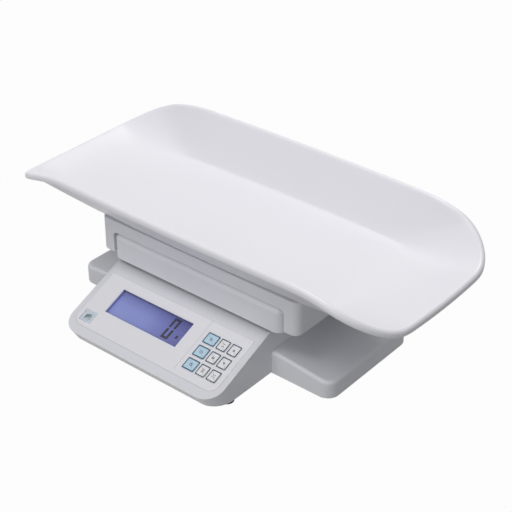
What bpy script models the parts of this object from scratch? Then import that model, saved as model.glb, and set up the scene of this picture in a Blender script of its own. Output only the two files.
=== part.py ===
"""Digital baby weighing scale: a cradle tray on a load cell platform, with a sloping display console.

Metres, +Z up, +X along the tray, the console faces -Y. The origin is the middle of the footprint,
on the surface that the scale stands on. Depths are counted back from the front of the console.
"""
import math

import bmesh
import bpy
from mathutils import Matrix, Vector

# Fits that all pieces share
GAP = 0.0003
OVERRUN = 0.002
WALL = 0.0025

# Tray: rim and floor outlines, heights above its floor
TRAY_LENGTH = 0.590
TRAY_WIDTH = 0.278
TRAY_CORNER = 0.060
TRAY_SETBACK = 0.186
TRAY_SKIN = 0.003
RIM_RADIUS = 0.0052
RIM_LIP = 0.0036
RIM_SIDE_RISE = 0.049
RIM_END_RISE = 0.008
TRAY_FLOOR_LENGTH = 0.410
TRAY_FLOOR_WIDTH = 0.181
TRAY_FLOOR_CORNER = 0.042
SIDE_BOW_SHARE = 0.055
END_BOW_SHARE = 0.017
LEVEL_RIM_SHARE = 0.6
RIM_FALL_POWER = 2.2
SIDE_WALL_POWER = 1.12
END_WALL_POWER = 1.9
WALL_STEP_SHARES = (0.0, 0.1, 0.25, 0.5, 0.75, 1.0)
ROLL_STEPS = 4
LONG_STEPS = 5
CORNER_STEPS = 6
SHORT_STEPS = 3

# Tray mount, the skirt under the tray
MOUNT_LENGTH = 0.3144
MOUNT_DEPTH = 0.1874
MOUNT_HEIGHT = 0.046
MOUNT_CORNER = 0.010
MOUNT_RIB = 0.009
MOUNT_RIB_SPACING = 0.060
NOTCH_CLEARANCE = 0.0015
NOTCH_ROOF_GAP = 0.0005
NOTCH_CORNER = 0.006
NOTCH_RETURN = 0.016
LUG_RADIUS = 0.010
LUG_HEIGHT = 0.0149
LUG_SEAT = 0.0006
LUG_INSET_X = 0.030
LUG_INSET_Y = 0.026
STAKE_RADIUS = 0.0018
STAKE_HEAD_RADIUS = 0.0034
STAKE_HEAD = 0.0014

# Weighing platform
PLATFORM_MARGIN = 0.0217
PLATFORM_LENGTH = MOUNT_LENGTH - 2 * PLATFORM_MARGIN
PLATFORM_DEPTH = 0.194
PLATFORM_HEIGHT = 0.033
PLATFORM_CORNER = 0.012
PLATFORM_EDGE = 0.0072
PLATFORM_LIFT = 0.0079
PLATFORM_TRAVEL = 0.0005
PLATFORM_RIB = 0.008

# Base slab with a wing at each side
FOOT_HEIGHT = 0.008
BASE_LENGTH = 0.408
BASE_DEPTH = 0.1625
BASE_HEIGHT = 0.0312
BASE_FRONT = 0.0976
BASE_CORNER = 0.016
BASE_EDGE = 0.0045
WING_SLOPE = math.radians(5.7)
BACK_STRIP = 0.022

# Console wedge and the raised block behind it
CONSOLE_WIDTH = 0.248
CONSOLE_OFFSET = -0.0084
CONSOLE_NOSE = 0.0106
CONSOLE_TOE = 0.0007
CONSOLE_FRONT_HEIGHT = 0.0201
PANEL_SLOPE = math.radians(23.05)
PANEL_LENGTH = 0.1026
CONSOLE_CORNER = 0.024
CONSOLE_BACK_CORNER = 0.006
CONSOLE_EDGE = 0.0045
CONSOLE_BOSS_INSET = 0.0095
FRONT_BOSS_SHIFT = 0.038
PANEL_RECESS = 0.0009

# Face overlay and display, from the console's middle and up the panel
OVERLAY_THICKNESS = 0.0008
OVERLAY_SIDE = 0.0085
OVERLAY_FRONT = 0.0014
OVERLAY_BACK = 0.0189
OVERLAY_FRONT_CORNER = 0.013
OVERLAY_BACK_CORNER = 0.0015
WINDOW_X = -0.0271
WINDOW_UP = 0.0319
WINDOW_LENGTH = 0.1162
WINDOW_WIDTH = 0.0377
WINDOW_LEDGE = 0.0012
GLASS_THICKNESS = 0.0018
GLASS_MARGIN = 0.0015
BACKLIGHT_THICKNESS = 0.0025
FRAME_WALL = 0.0022
BOARD_DEPTH = 0.0090
BOARD_THICKNESS = 0.0016
BOARD_LEFT = 0.034
BOARD_RIGHT = 0.0098
BOARD_FRONT = 0.0115
BOARD_LENGTH_UP = 0.070
BOARD_BOSS_INSET = 0.0045

# Keys: first column, then the narrower ones
KEY_X = 0.0568
KEY_UP = 0.0133
FIRST_KEY_WIDTH = 0.0180
KEY_WIDTH = 0.0141
KEY_DEPTH = 0.0159
KEY_GAP_X = 0.0026
KEY_GAP_UP = 0.0041
KEY_CORNER = 0.0012
KEY_THICKNESS = 0.0008
KEY_PROUD = 0.0006
KEY_TRAVEL = 0.0004
KEY_STEM_RADIUS = 0.0022
KEY_ROWS = 3
KEY_COLUMNS = 3
DOME_RADIUS = 0.0042
DOME_HEIGHT = 0.0007
SWITCH_SHEET = 0.0004
PIN_RADIUS = 0.0012
PIN_HEAD_RADIUS = 0.0022
PIN_HEAD = 0.0008

# Bubble level at the left of the panel
LEVEL_X = -0.1004
LEVEL_UP = 0.0160
LEVEL_WINDOW_LENGTH = 0.0185
LEVEL_WINDOW_WIDTH = 0.0165
VIAL_X = -0.1026
VIAL_DEPTH = 0.0172
VIAL_RADIUS = 0.0075
VIAL_HEIGHT = 0.0075
VIAL_BOTTOM = 0.0125
VIAL_BEVEL = 0.0012
VIAL_POST_RADIUS = 0.0045

# Base plate and console floor
PLATE = 0.0025
FOOT_BOSS_RADIUS = 0.0065
FOOT_BOSS_HEIGHT = 0.006
STUD_RADIUS = 0.004
STUD_LENGTH = 0.0145
WHEEL_RADIUS = 0.010
WHEEL_NOTCH_SHARE = 0.94
FOOT_PAD_RADIUS = 0.009
FOOT_PAD_HEIGHT = 0.0034
FOOT_PIN_RADIUS = 0.003
FOOT_SOCKET = 0.002
FOOT_WHEEL_GAP = 0.0003
FRONT_FOOT_INSET = 0.013
FRONT_FOOT_DEPTH = 0.031
REAR_FOOT_INSET_X = 0.022
REAR_FOOT_INSET_Y = 0.0195

# Screws
SCREW_RADIUS = 0.0015
SCREW_HEAD_RADIUS = 0.003
SCREW_HEAD = 0.0018
SCREW_BITE = 0.009
BOSS_RADIUS = 0.0036
BOARD_BOSS_RADIUS = 0.0028
BIG_SCREW_RADIUS = 0.003
BIG_HEAD_RADIUS = 0.005
BIG_HEAD = 0.004

# Load cell
CELL_LENGTH = 0.130
CELL_WIDTH = 0.030
CELL_HEIGHT = 0.022
CELL_BORE = 0.0075
CELL_BORE_SPACING = 0.030
CELL_SLOT = 0.005
CELL_SEAT = 0.006
CELL_END = 0.034
CELL_SCREW_SPACING = 0.018
CELL_SCREW_BITE = 0.014
STOP_RADIUS = 0.004
STOP_BOSS_RADIUS = 0.008
STOP_BOSS_HEIGHT = 0.003
STOP_CLEARANCE = 0.0005
BRACKET = 0.004
BRACKET_LIFT = 0.004
BRACKET_SPINE = 0.060
BRACKET_ARM = 0.030
BRACKET_INSET_X = 0.030
BRACKET_INSET_Y = 0.022
POST_WINDOW = 0.004

# Batteries
CELLS_LONG = 2
CELLS_WIDE = 2
BATTERY_LENGTH = 0.0485
BATTERY_RADIUS = 0.0071
BATTERY_NUB = 0.0014
BATTERY_NUB_RADIUS = 0.0026
BATTERY_PLAY = 0.0008
CONTACT = 0.0008
CONTACT_WIDTH = 0.009
WELL_WALL = 0.002
WELL_DEPTH = 0.047
COVER_THICKNESS = 0.002
GRIP_RIB = 0.0012
GRIPS = 3
GRIP_PITCH = 0.0025
GRIP_WIDTH = 0.0012
GRIP_DEPTH = 0.0007

# Main board in the block
MAIN_BOARD_LENGTH = 0.040
MAIN_BOARD_DEPTH = 0.075
MAIN_BOARD_INSET = 0.006
MAIN_BOARD_BACK = 0.025
STANDOFF = 0.006
CHIP_HEIGHT = 0.0018
CHIP_SHARES = ((0.30, 0.30, 0.30, 0.17), (0.68, 0.35, 0.22, 0.12), (0.35, 0.62, 0.20, 0.11))
BUZZER_RADIUS = 0.006
BUZZER_HEIGHT = 0.005
JACK_POST_GAP = 0.007
JACK_RISE = 0.040
JACK_RADIUS = 0.0048
JACK_BORE = 0.0028
JACK_PIN = 0.0009
JACK_LENGTH = 0.012
JACK_FLANGE = 0.0015
JACK_FLANGE_RADIUS = 0.0068
CABLE_RADIUS = 0.0012
CABLE_SLACK = 0.004

# Facets
ROUND_SIDES = 18
SMALL_SIDES = 8
CORNER_FACETS = 5
EDGE_FACETS = 3
ROUTE_STEPS = 4

# Places worked out from the sizes above
FRONT = -(TRAY_SETBACK + TRAY_WIDTH / 2 - CONSOLE_NOSE) / 2
AXIS_Y = FRONT + TRAY_SETBACK
BASE_TOP = FOOT_HEIGHT + BASE_HEIGHT
BASE_FACE = FRONT + BASE_FRONT
BASE_BACK = BASE_FACE + BASE_DEPTH
CONSOLE_LEFT = CONSOLE_OFFSET - CONSOLE_WIDTH / 2
CONSOLE_RIGHT = CONSOLE_OFFSET + CONSOLE_WIDTH / 2
PANEL_FOOT = FOOT_HEIGHT + CONSOLE_FRONT_HEIGHT
BLOCK_TOP = PANEL_FOOT + PANEL_LENGTH * math.sin(PANEL_SLOPE)
BLOCK_BACK = BASE_BACK - BACK_STRIP
PLATE_TOP = FOOT_HEIGHT + PLATE
PLATFORM_BOTTOM = BLOCK_TOP + PLATFORM_LIFT
PLATFORM_TOP = PLATFORM_BOTTOM + PLATFORM_HEIGHT
LUG_BOTTOM = PLATFORM_TOP - LUG_SEAT + GAP
MOUNT_ROOF = LUG_BOTTOM + LUG_HEIGHT
MOUNT_TOP = MOUNT_ROOF + WALL
MOUNT_BOTTOM = MOUNT_TOP - MOUNT_HEIGHT
TRAY_FLOOR = MOUNT_TOP + GAP + TRAY_SKIN
CELL_BOTTOM = PLATE_TOP + CELL_SEAT + GAP
CELL_TOP = CELL_BOTTOM + CELL_HEIGHT
BRACKET_BOTTOM = PLATFORM_BOTTOM + BRACKET_LIFT
BRACKET_TOP = BRACKET_BOTTOM + BRACKET
POST_BOTTOM = CELL_TOP + GAP + PLATFORM_TRAVEL
PANEL = Matrix.Translation((CONSOLE_OFFSET, FRONT, PANEL_FOOT)) @ Matrix.Rotation(PANEL_SLOPE, 4, "X")

FINISHES = {
    "white_plastic": ((0.86, 0.86, 0.88), 0.35, 0.0),
    "grey_plastic": ((0.52, 0.54, 0.58), 0.45, 0.0),
    "panel_sheet": ((0.80, 0.80, 0.84), 0.40, 0.0),
    "key_white": ((0.95, 0.96, 0.97), 0.40, 0.0),
    "key_blue": ((0.62, 0.84, 0.94), 0.40, 0.0),
    "clear_plastic": ((0.85, 0.90, 0.92), 0.08, 0.0),
    "display_glass": ((0.27, 0.31, 0.60), 0.15, 0.0),
    "dark_plastic": ((0.06, 0.06, 0.07), 0.50, 0.0),
    "circuit_board": ((0.05, 0.25, 0.12), 0.55, 0.0),
    "aluminium": ((0.75, 0.76, 0.78), 0.35, 1.0),
    "steel": ((0.60, 0.61, 0.63), 0.30, 1.0),
    "rubber": ((0.05, 0.05, 0.05), 0.80, 0.0),
    "battery_wrap": ((0.15, 0.17, 0.20), 0.40, 0.0),
}


def clear_scene():
    for item in list(bpy.data.objects):
        bpy.data.objects.remove(item, do_unlink=True)


def finish(name):
    material = bpy.data.materials.get(name)
    if material:
        return material
    colour, roughness, metallic = FINISHES[name]
    material = bpy.data.materials.new(name)
    material.use_nodes = True
    shader = material.node_tree.nodes["Principled BSDF"]
    shader.inputs["Base Color"].default_value = (*colour, 1.0)
    shader.inputs["Roughness"].default_value = roughness
    shader.inputs["Metallic"].default_value = metallic
    return material


def place(name, shape, finish_name, origin=(0, 0, 0), parent=None):
    """Make one sub-part from a shape drawn in world places, with its own origin."""
    bmesh.ops.translate(shape, vec=-Vector(origin), verts=shape.verts)
    mesh = bpy.data.meshes.new(name)
    shape.to_mesh(mesh)
    shape.free()
    mesh.shade_smooth()
    mesh.set_sharp_from_angle(angle=math.radians(35))
    mesh.materials.append(finish(finish_name))
    item = bpy.data.objects.new(name, mesh)
    bpy.context.collection.objects.link(item)
    item.location = origin
    if parent:
        item.parent = parent
        item.matrix_parent_inverse = Matrix.Translation(-parent.location)
    return item


def carrier(name, origin):
    """An empty that stands on a joint's axis and carries the pieces of a moving body."""
    item = bpy.data.objects.new(name, None)
    bpy.context.collection.objects.link(item)
    item.location = origin
    return item


def combine(item, shape, operation):
    """Join a shape to a piece, or cut it out, with a Boolean modifier."""
    mesh = bpy.data.meshes.new(item.name + "_tool")
    shape.to_mesh(mesh)
    shape.free()
    tool = bpy.data.objects.new(item.name + "_tool", mesh)
    bpy.context.collection.objects.link(tool)
    tool.hide_render = True
    tool.display_type = "WIRE"
    step = item.modifiers.new(operation.lower(), "BOOLEAN")
    step.operation = operation
    step.object = tool
    step.use_self = False


def cut(item, *shapes):
    combine(item, group(shapes), "DIFFERENCE")


def fuse(item, *shapes):
    combine(item, group(shapes), "UNION")


def moved(shape, vec):
    bmesh.ops.translate(shape, vec=vec, verts=shape.verts)
    return shape


def tipped(shape, degrees, axis):
    """Turn a shape about an axis through the origin."""
    turn = Matrix.Rotation(math.radians(degrees), 3, axis)
    bmesh.ops.rotate(shape, cent=(0, 0, 0), matrix=turn, verts=shape.verts)
    return shape


def group(shapes):
    """Put several separate shapes into one."""
    whole = bmesh.new()
    for shape in shapes:
        mesh = bpy.data.meshes.new("part_of_group")
        shape.to_mesh(mesh)
        shape.free()
        whole.from_mesh(mesh)
        bpy.data.meshes.remove(mesh)
    return whole


def brick(low, high):
    low, high = Vector(low), Vector(high)
    shape = bmesh.new()
    bmesh.ops.create_cube(shape, size=1.0)
    bmesh.ops.scale(shape, vec=high - low, verts=shape.verts)
    bmesh.ops.translate(shape, vec=(low + high) / 2, verts=shape.verts)
    return shape


def round_outline(left, front, right, back, radii, steps=CORNER_FACETS):
    """Rectangle with rounded corners, radii from the front left corner round to the back left one."""
    corners = ((left, front, 1, 1, 180), (right, front, -1, 1, 270),
               (right, back, -1, -1, 0), (left, back, 1, -1, 90))
    points = []
    for (x, y, inward_x, inward_y, start), radius in zip(corners, radii):
        middle = Vector((x + inward_x * radius, y + inward_y * radius))
        turns = steps if radius else 0
        for step in range(turns + 1):
            angle = math.radians(start + (90 * step / steps if turns else 0))
            points.append(middle + radius * Vector((math.cos(angle), math.sin(angle))))
    return points


def prism(outline, bottom, top):
    """Raise a flat outline into a solid plate or block."""
    shape = bmesh.new()
    face = shape.faces.new([shape.verts.new((x, y, bottom)) for x, y in outline])
    raised = bmesh.ops.extrude_face_region(shape, geom=[face], use_keep_orig=True)
    verts = [piece for piece in raised["geom"] if isinstance(piece, bmesh.types.BMVert)]
    bmesh.ops.translate(shape, vec=(0, 0, top - bottom), verts=verts)
    bmesh.ops.recalc_face_normals(shape, faces=shape.faces)
    return shape


def round_block(left, front, right, back, bottom, top, corner, edge=0.0):
    """Block with upright corners of one radius and a softened upper edge."""
    shape = prism(round_outline(left, front, right, back, (corner,) * 4), bottom, top)
    if edge:
        soften(shape, edge)
    return shape


def soften(shape, radius):
    """Round the edges where level or sloping faces turn into upright ones."""
    level_share, upright_share = 0.8, 0.3
    shape.normal_update()
    edges = []
    for edge in shape.edges:
        upright, level = sorted(face.normal.z for face in edge.link_faces)
        if level > level_share and abs(upright) < upright_share:
            edges.append(edge)
    bmesh.ops.bevel(shape, geom=edges, offset=radius, segments=EDGE_FACETS, profile=0.5,
                    affect="EDGES", clamp_overlap=True, material=-1)


def turned(profile, x, y, sides=SMALL_SIDES):
    """Solid of revolution about an upright axis, from (radius, height) points that start and end on it."""
    shape = bmesh.new()
    verts = [shape.verts.new((radius, 0, height)) for radius, height in profile]
    edges = [shape.edges.new(pair) for pair in zip(verts, verts[1:])]
    bmesh.ops.spin(shape, geom=verts + edges, cent=(0, 0, 0), axis=(0, 0, 1), angle=math.tau,
                   steps=sides, use_merge=True)
    bmesh.ops.remove_doubles(shape, verts=shape.verts, dist=GAP / 100)
    bmesh.ops.recalc_face_normals(shape, faces=shape.faces)
    bmesh.ops.translate(shape, vec=(x, y, 0), verts=shape.verts)
    return shape


def rod(x, y, radius, bottom, top, sides=SMALL_SIDES):
    return turned([(0, bottom), (radius, bottom), (radius, top), (0, top)], x, y, sides)


def screw(x, y, head_radius, head, radius, bottom, length):
    """Screw driven upwards: its head below, its shank above."""
    seat = bottom + head
    tip = seat + length
    profile = [(0, bottom), (head_radius - head / 3, bottom), (head_radius, bottom + head / 2),
               (head_radius, seat)]
    profile += [(radius, seat), (radius, tip - radius), (0, tip)]
    return turned(profile, x, y, SMALL_SIDES)


def tube(points, radius):
    """Cable as a bevelled curve along a smooth route, turned into a mesh."""
    curve = bpy.data.curves.new("route", "CURVE")
    curve.dimensions = "3D"
    curve.bevel_depth = radius
    curve.bevel_resolution = 1
    curve.use_fill_caps = True
    path = smooth_route(points, ROUTE_STEPS)
    spline = curve.splines.new("POLY")
    spline.points.add(len(path) - 1)
    weight = 1
    for point, place_on in zip(spline.points, path):
        point.co = (*place_on, weight)
    item = bpy.data.objects.new("route", curve)
    bpy.context.collection.objects.link(item)
    mesh = item.to_mesh()
    shape = bmesh.new()
    shape.from_mesh(mesh)
    item.to_mesh_clear()
    bpy.data.objects.remove(item, do_unlink=True)
    bmesh.ops.remove_doubles(shape, verts=shape.verts, dist=GAP / 100)
    bmesh.ops.recalc_face_normals(shape, faces=shape.faces)
    bmesh.ops.triangulate(shape, faces=shape.faces)
    return shape


def smooth_route(points, steps):
    """Points along a smooth curve through the given ones."""
    points = [Vector(point) for point in points]
    ends = [2 * points[0] - points[1]] + points + [2 * points[-1] - points[-2]]
    path = []
    for before, start, stop, after in zip(ends, ends[1:], ends[2:], ends[3:]):
        for step in range(steps):
            t = step / steps
            path.append(0.5 * (2 * start + t * (stop - before)
                               + t * t * (2 * before - 5 * start + 4 * stop - after)
                               + t ** 3 * (3 * start - before - 3 * stop + after)))
    path.append(points[-1])
    return path


def on_panel(shape):
    """Move a shape from panel places (across, up the slope, out of it) to the world."""
    bmesh.ops.transform(shape, matrix=PANEL, verts=shape.verts)
    return shape


def turn_down(shape):
    """Mirror a shape drawn upwards, so that it hangs down instead."""
    bmesh.ops.scale(shape, vec=(1, 1, -1), verts=shape.verts)
    bmesh.ops.reverse_faces(shape, faces=shape.faces)
    return shape


def tray_outline(length, width, corner):
    """Rounded rectangle with bowed sides, evenly stepped, clockwise from the back middle."""
    half, side = length / 2, width / 2
    start, straight = Vector((0, side)), Vector((half - corner, side))
    quarter = [start.lerp(straight, step / LONG_STEPS) for step in range(LONG_STEPS)]
    middle = Vector((half - corner, side - corner))
    for step in range(CORNER_STEPS):
        angle = math.radians(90 * step / CORNER_STEPS)
        quarter.append(middle + corner * Vector((math.sin(angle), math.cos(angle))))
    straight = Vector((half, side - corner))
    quarter += [straight.lerp(Vector((half, 0)), step / SHORT_STEPS) for step in range(SHORT_STEPS)]
    turn = [Vector((x, y)) for x, y in quarter]
    lower = [Vector((x, -y)) for x, y in [(half, 0)] + [tuple(point) for point in quarter[:0:-1]]]
    right = turn + lower
    loop = right + [-point for point in right]
    bowed = []
    for point in loop:
        x = point.x * (1 - END_BOW_SHARE * (point.y / side) ** 2)
        y = point.y * (1 - SIDE_BOW_SHARE * (point.x / half) ** 2)
        bowed.append(Vector((x, y)))
    return bowed


def outward(loop, index):
    """Unit direction square to a clockwise loop, pointing out of it."""
    along = loop[(index + 1) % len(loop)] - loop[index - 1]
    return Vector((-along.y, along.x)).normalized()


def tray_rise(x):
    """Height of the rim's centre above the tray floor: level along the sides, low at the ends."""
    reach = abs(x) / (TRAY_LENGTH / 2 - RIM_RADIUS)
    fall = max(0.0, (reach - LEVEL_RIM_SHARE) / (1 - LEVEL_RIM_SHARE)) ** RIM_FALL_POWER
    return RIM_SIDE_RISE + (RIM_END_RISE - RIM_SIDE_RISE) * min(1.0, fall)


def tray_section(foot, rim, out, rise):
    """One section of the tray, from the floor's edge up the wall and over the rolled rim."""
    run = (rim - foot).length
    endward = out.x ** 2
    power = SIDE_WALL_POWER + (END_WALL_POWER - SIDE_WALL_POWER) * endward
    slope = math.atan2(power * rise, run)
    top = rim - out * RIM_RADIUS * math.sin(slope)
    height = rise + RIM_RADIUS * math.cos(slope)
    points = []
    for share in WALL_STEP_SHARES:
        level = foot.lerp(top, share)
        points.append(Vector((level.x, level.y, TRAY_FLOOR + height * share ** power)))
    for step in range(1, ROLL_STEPS + 1):
        angle = (math.pi / 2 + slope) * (1 - step / ROLL_STEPS)
        level = rim + out * RIM_RADIUS * math.cos(angle)
        points.append(Vector((level.x, level.y, TRAY_FLOOR + rise + RIM_RADIUS * math.sin(angle))))
    points.append(points[-1] - Vector((0, 0, RIM_LIP)))
    return points


def make_tray(parent):
    """Saddle-shaped cradle: a lofted sheet from the flat floor to the rolled rim, then given its skin."""
    rim = tray_outline(TRAY_LENGTH - 2 * RIM_RADIUS, TRAY_WIDTH - 2 * RIM_RADIUS, TRAY_CORNER)
    floor = tray_outline(TRAY_FLOOR_LENGTH, TRAY_FLOOR_WIDTH, TRAY_FLOOR_CORNER)
    sections = [tray_section(foot, edge, outward(rim, index), tray_rise(edge.x))
                for index, (foot, edge) in enumerate(zip(floor, rim))]
    shape = bmesh.new()
    loops = []
    for level in zip(*sections):
        verts = [shape.verts.new(point) for point in level]
        loops.append([shape.edges.new(pair) for pair in zip(verts, verts[1:] + verts[:1])])
    for inner, outer in zip(loops, loops[1:]):
        bmesh.ops.bridge_loops(shape, edges=inner + outer)
    bmesh.ops.contextual_create(shape, geom=loops[0])
    bmesh.ops.recalc_face_normals(shape, faces=shape.faces)
    shape.normal_update()
    floor_face = max(shape.faces, key=lambda face: face.calc_area())
    if floor_face.normal.z < 0:
        bmesh.ops.reverse_faces(shape, faces=shape.faces)
    bmesh.ops.translate(shape, vec=(0, AXIS_Y, 0), verts=shape.verts)
    tray = place("tray_shell", shape, "white_plastic", (0, AXIS_Y, TRAY_FLOOR), parent)
    skin = tray.modifiers.new("skin", "SOLIDIFY")
    skin.thickness = TRAY_SKIN
    skin.offset = -1
    skin.use_even_offset = True
    skin.use_rim = True
    fuse(tray, *[stake(x, y, MOUNT_ROOF - GAP, TRAY_FLOOR - TRAY_SKIN / 2) for x, y in tray_stake_places()])
    return tray


def stake(x, y, seat, root):
    """Moulded pin that hangs from a root, with the flattened head that holds the piece above the seat."""
    tip, edge = seat - STAKE_HEAD, seat - STAKE_HEAD / 2
    profile = [(0, tip), (STAKE_HEAD_RADIUS - STAKE_HEAD / 2, tip), (STAKE_HEAD_RADIUS, edge),
               (STAKE_HEAD_RADIUS, seat), (STAKE_RADIUS, seat), (STAKE_RADIUS, root), (0, root)]
    return turned(profile, x, y)


def tray_stake_places():
    """Stakes that hold the mount to the tray, two at each end."""
    reach = MOUNT_LENGTH / 2 - WALL - 2 * STAKE_HEAD_RADIUS
    depth = MOUNT_DEPTH / 2 - LUG_INSET_Y
    return [(x, AXIS_Y + y) for x in (-reach, reach) for y in (-depth, depth)]


def lug_places():
    """Feet of the mount, near the corners of the platform."""
    reach = PLATFORM_LENGTH / 2 - LUG_INSET_X
    depth = PLATFORM_DEPTH / 2 - LUG_INSET_Y
    return [(x, AXIS_Y + y) for x in (-reach, reach) for y in (-depth, depth)]


def make_tray_mount(parent):
    """Skirt with a roof, ribs under it, and a notch at front and back that straddles the platform."""
    reach, depth = MOUNT_LENGTH / 2, MOUNT_DEPTH / 2
    outer = round_block(-reach, AXIS_Y - depth, reach, AXIS_Y + depth, MOUNT_BOTTOM, MOUNT_TOP, MOUNT_CORNER)
    mount = place("tray_mount", outer, "grey_plastic", (0, AXIS_Y, MOUNT_TOP), parent)
    cut(mount, round_block(-reach + WALL, AXIS_Y - depth + WALL, reach - WALL, AXIS_Y + depth - WALL,
                           MOUNT_BOTTOM - OVERRUN, MOUNT_ROOF, MOUNT_CORNER - WALL))
    notch = PLATFORM_LENGTH / 2 + NOTCH_CLEARANCE
    lip = WALL / 2
    returns = []
    for side in (-1, 1):
        for face in (-1, 1):
            near, far = sorted((side * (notch - GAP), side * (notch + WALL)))
            front, back = sorted((AXIS_Y + face * (depth - lip), AXIS_Y + face * (depth - NOTCH_RETURN)))
            returns.append(brick((near, front, MOUNT_BOTTOM), (far, back, MOUNT_ROOF + lip)))
    fuse(mount, *returns)
    ribs = []
    for x in (-MOUNT_RIB_SPACING, 0, MOUNT_RIB_SPACING):
        ribs.append(brick((x - WALL / 2, AXIS_Y - depth + lip, MOUNT_ROOF - MOUNT_RIB),
                          (x + WALL / 2, AXIS_Y + depth - lip, MOUNT_ROOF + lip)))
    for rib in ribs:
        fuse(mount, rib)
    fuse(mount, brick((-reach + lip, AXIS_Y - WALL / 2, MOUNT_ROOF - MOUNT_RIB),
                      (reach - lip, AXIS_Y + WALL / 2, MOUNT_ROOF + lip)))
    cut(mount, notch_tunnel(notch, depth + OVERRUN))
    fuse(mount, *[rod(x, y, LUG_RADIUS, LUG_BOTTOM, MOUNT_ROOF + lip, ROUND_SIDES) for x, y in lug_places()])
    cut(mount, *[rod(x, y, STAKE_RADIUS + GAP, MOUNT_ROOF - OVERRUN, MOUNT_TOP + OVERRUN)
                 for x, y in tray_stake_places()])
    return mount


def notch_tunnel(reach, depth):
    """Solid with the notch's outline, round in its upper corners, that runs from front to back."""
    low, high = MOUNT_BOTTOM - OVERRUN, PLATFORM_TOP + NOTCH_ROOF_GAP
    outline = round_outline(-reach, low, reach, high, (0, 0, NOTCH_CORNER, NOTCH_CORNER))
    tunnel = tipped(prism(outline, -depth, depth), 90, "X")
    return moved(tunnel, (0, AXIS_Y, 0))


def platform_stake_places():
    reach = PLATFORM_LENGTH / 2 - BRACKET_INSET_X - BRACKET_ARM / 2
    depth = PLATFORM_DEPTH / 2 - BRACKET_INSET_Y - BRACKET_ARM / 2
    return [(x, AXIS_Y + y) for x in (-reach, reach) for y in (-depth, depth)]


def make_platform(parent):
    """Box-shaped cover with ribs and screw bosses inside, and a round seat for each pad on top."""
    reach, depth = PLATFORM_LENGTH / 2, PLATFORM_DEPTH / 2
    outer = round_block(-reach, AXIS_Y - depth, reach, AXIS_Y + depth, PLATFORM_BOTTOM, PLATFORM_TOP,
                        PLATFORM_CORNER, PLATFORM_EDGE)
    cover = place("platform_cover", outer, "grey_plastic", (0, AXIS_Y, PLATFORM_TOP), parent)
    roof = PLATFORM_TOP - WALL
    cut(cover, round_block(-reach + WALL, AXIS_Y - depth + WALL, reach - WALL, AXIS_Y + depth - WALL,
                           PLATFORM_BOTTOM - OVERRUN, roof, PLATFORM_CORNER - WALL, PLATFORM_EDGE - WALL))
    lip = WALL / 2
    low, high = roof - PLATFORM_RIB, roof + lip
    fuse(cover, brick((-reach + lip, AXIS_Y - WALL / 2, low), (reach - lip, AXIS_Y + WALL / 2, high)))
    fuse(cover, brick((-WALL / 2, AXIS_Y - depth + lip, low), (WALL / 2, AXIS_Y + depth - lip, high)))
    fuse(cover, *[rod(x, y, BOSS_RADIUS, BRACKET_TOP + GAP, high) for x, y in platform_stake_places()])
    fuse(cover, *[stake(x, y, BRACKET_BOTTOM - GAP, BRACKET_TOP + WALL) for x, y in platform_stake_places()])
    cut(cover, *[rod(x, y, LUG_RADIUS + GAP, PLATFORM_TOP - LUG_SEAT, PLATFORM_TOP + OVERRUN, ROUND_SIDES)
                 for x, y in lug_places()])
    return cover


def cell_screw_places(end):
    """Two screws in line at one end of the load cell."""
    middle = end * (CELL_LENGTH - CELL_END) / 2
    return [(middle + step * CELL_SCREW_SPACING / 2, AXIS_Y) for step in (-1, 1)]


def make_bracket(parent):
    """Spider of a spine and two arms, with the post that stands on the free end of the load cell."""
    reach = PLATFORM_LENGTH / 2 - BRACKET_INSET_X
    depth = PLATFORM_DEPTH / 2 - BRACKET_INSET_Y
    spine, waist = BRACKET_SPINE / 2, reach - BRACKET_ARM
    quarter = [(waist, spine), (waist, depth), (reach, depth)]
    outline = [(x, -y) for x, y in quarter] + [(x, y) for x, y in quarter[::-1]]
    outline += [(-x, y) for x, y in quarter] + [(-x, -y) for x, y in quarter[::-1]]
    plate = prism([(x, AXIS_Y + y) for x, y in outline], BRACKET_BOTTOM, BRACKET_TOP)
    bracket = place("platform_bracket", plate, "aluminium", (0, AXIS_Y, BRACKET_BOTTOM), parent)
    end = CELL_LENGTH / 2
    fuse(bracket, brick((end - CELL_END, AXIS_Y - CELL_WIDTH / 2, POST_BOTTOM),
                        (end, AXIS_Y + CELL_WIDTH / 2, BRACKET_BOTTOM + BRACKET / 2)))
    holes = [rod(x, y, STAKE_RADIUS + GAP, BRACKET_BOTTOM - OVERRUN, BRACKET_TOP + OVERRUN)
             for x, y in platform_stake_places()]
    holes += [rod(x, y, BIG_SCREW_RADIUS + GAP, POST_BOTTOM - OVERRUN, BRACKET_TOP + OVERRUN)
              for x, y in cell_screw_places(1)]
    cut(bracket, *holes)
    return bracket


def make_cell_top_screws(parent):
    """Screws that clamp the bracket's post to the free end of the load cell, with a socket in each head."""
    tip = CELL_TOP - CELL_SCREW_BITE
    seat = BRACKET_TOP + GAP
    socket = BIG_HEAD_RADIUS / 2
    for number, (x, y) in enumerate(cell_screw_places(1)):
        profile = [(0, tip), (BIG_SCREW_RADIUS, tip + BIG_SCREW_RADIUS / 2), (BIG_SCREW_RADIUS, seat),
                   (BIG_HEAD_RADIUS, seat), (BIG_HEAD_RADIUS, seat + BIG_HEAD), (socket, seat + BIG_HEAD),
                   (socket, seat + BIG_HEAD / 2), (0, seat + BIG_HEAD / 2)]
        name = "cell_top_screw_%d" % (number + 1)
        place(name, turned(profile, x, y), "steel", (x, y, BRACKET_TOP), parent)


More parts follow.
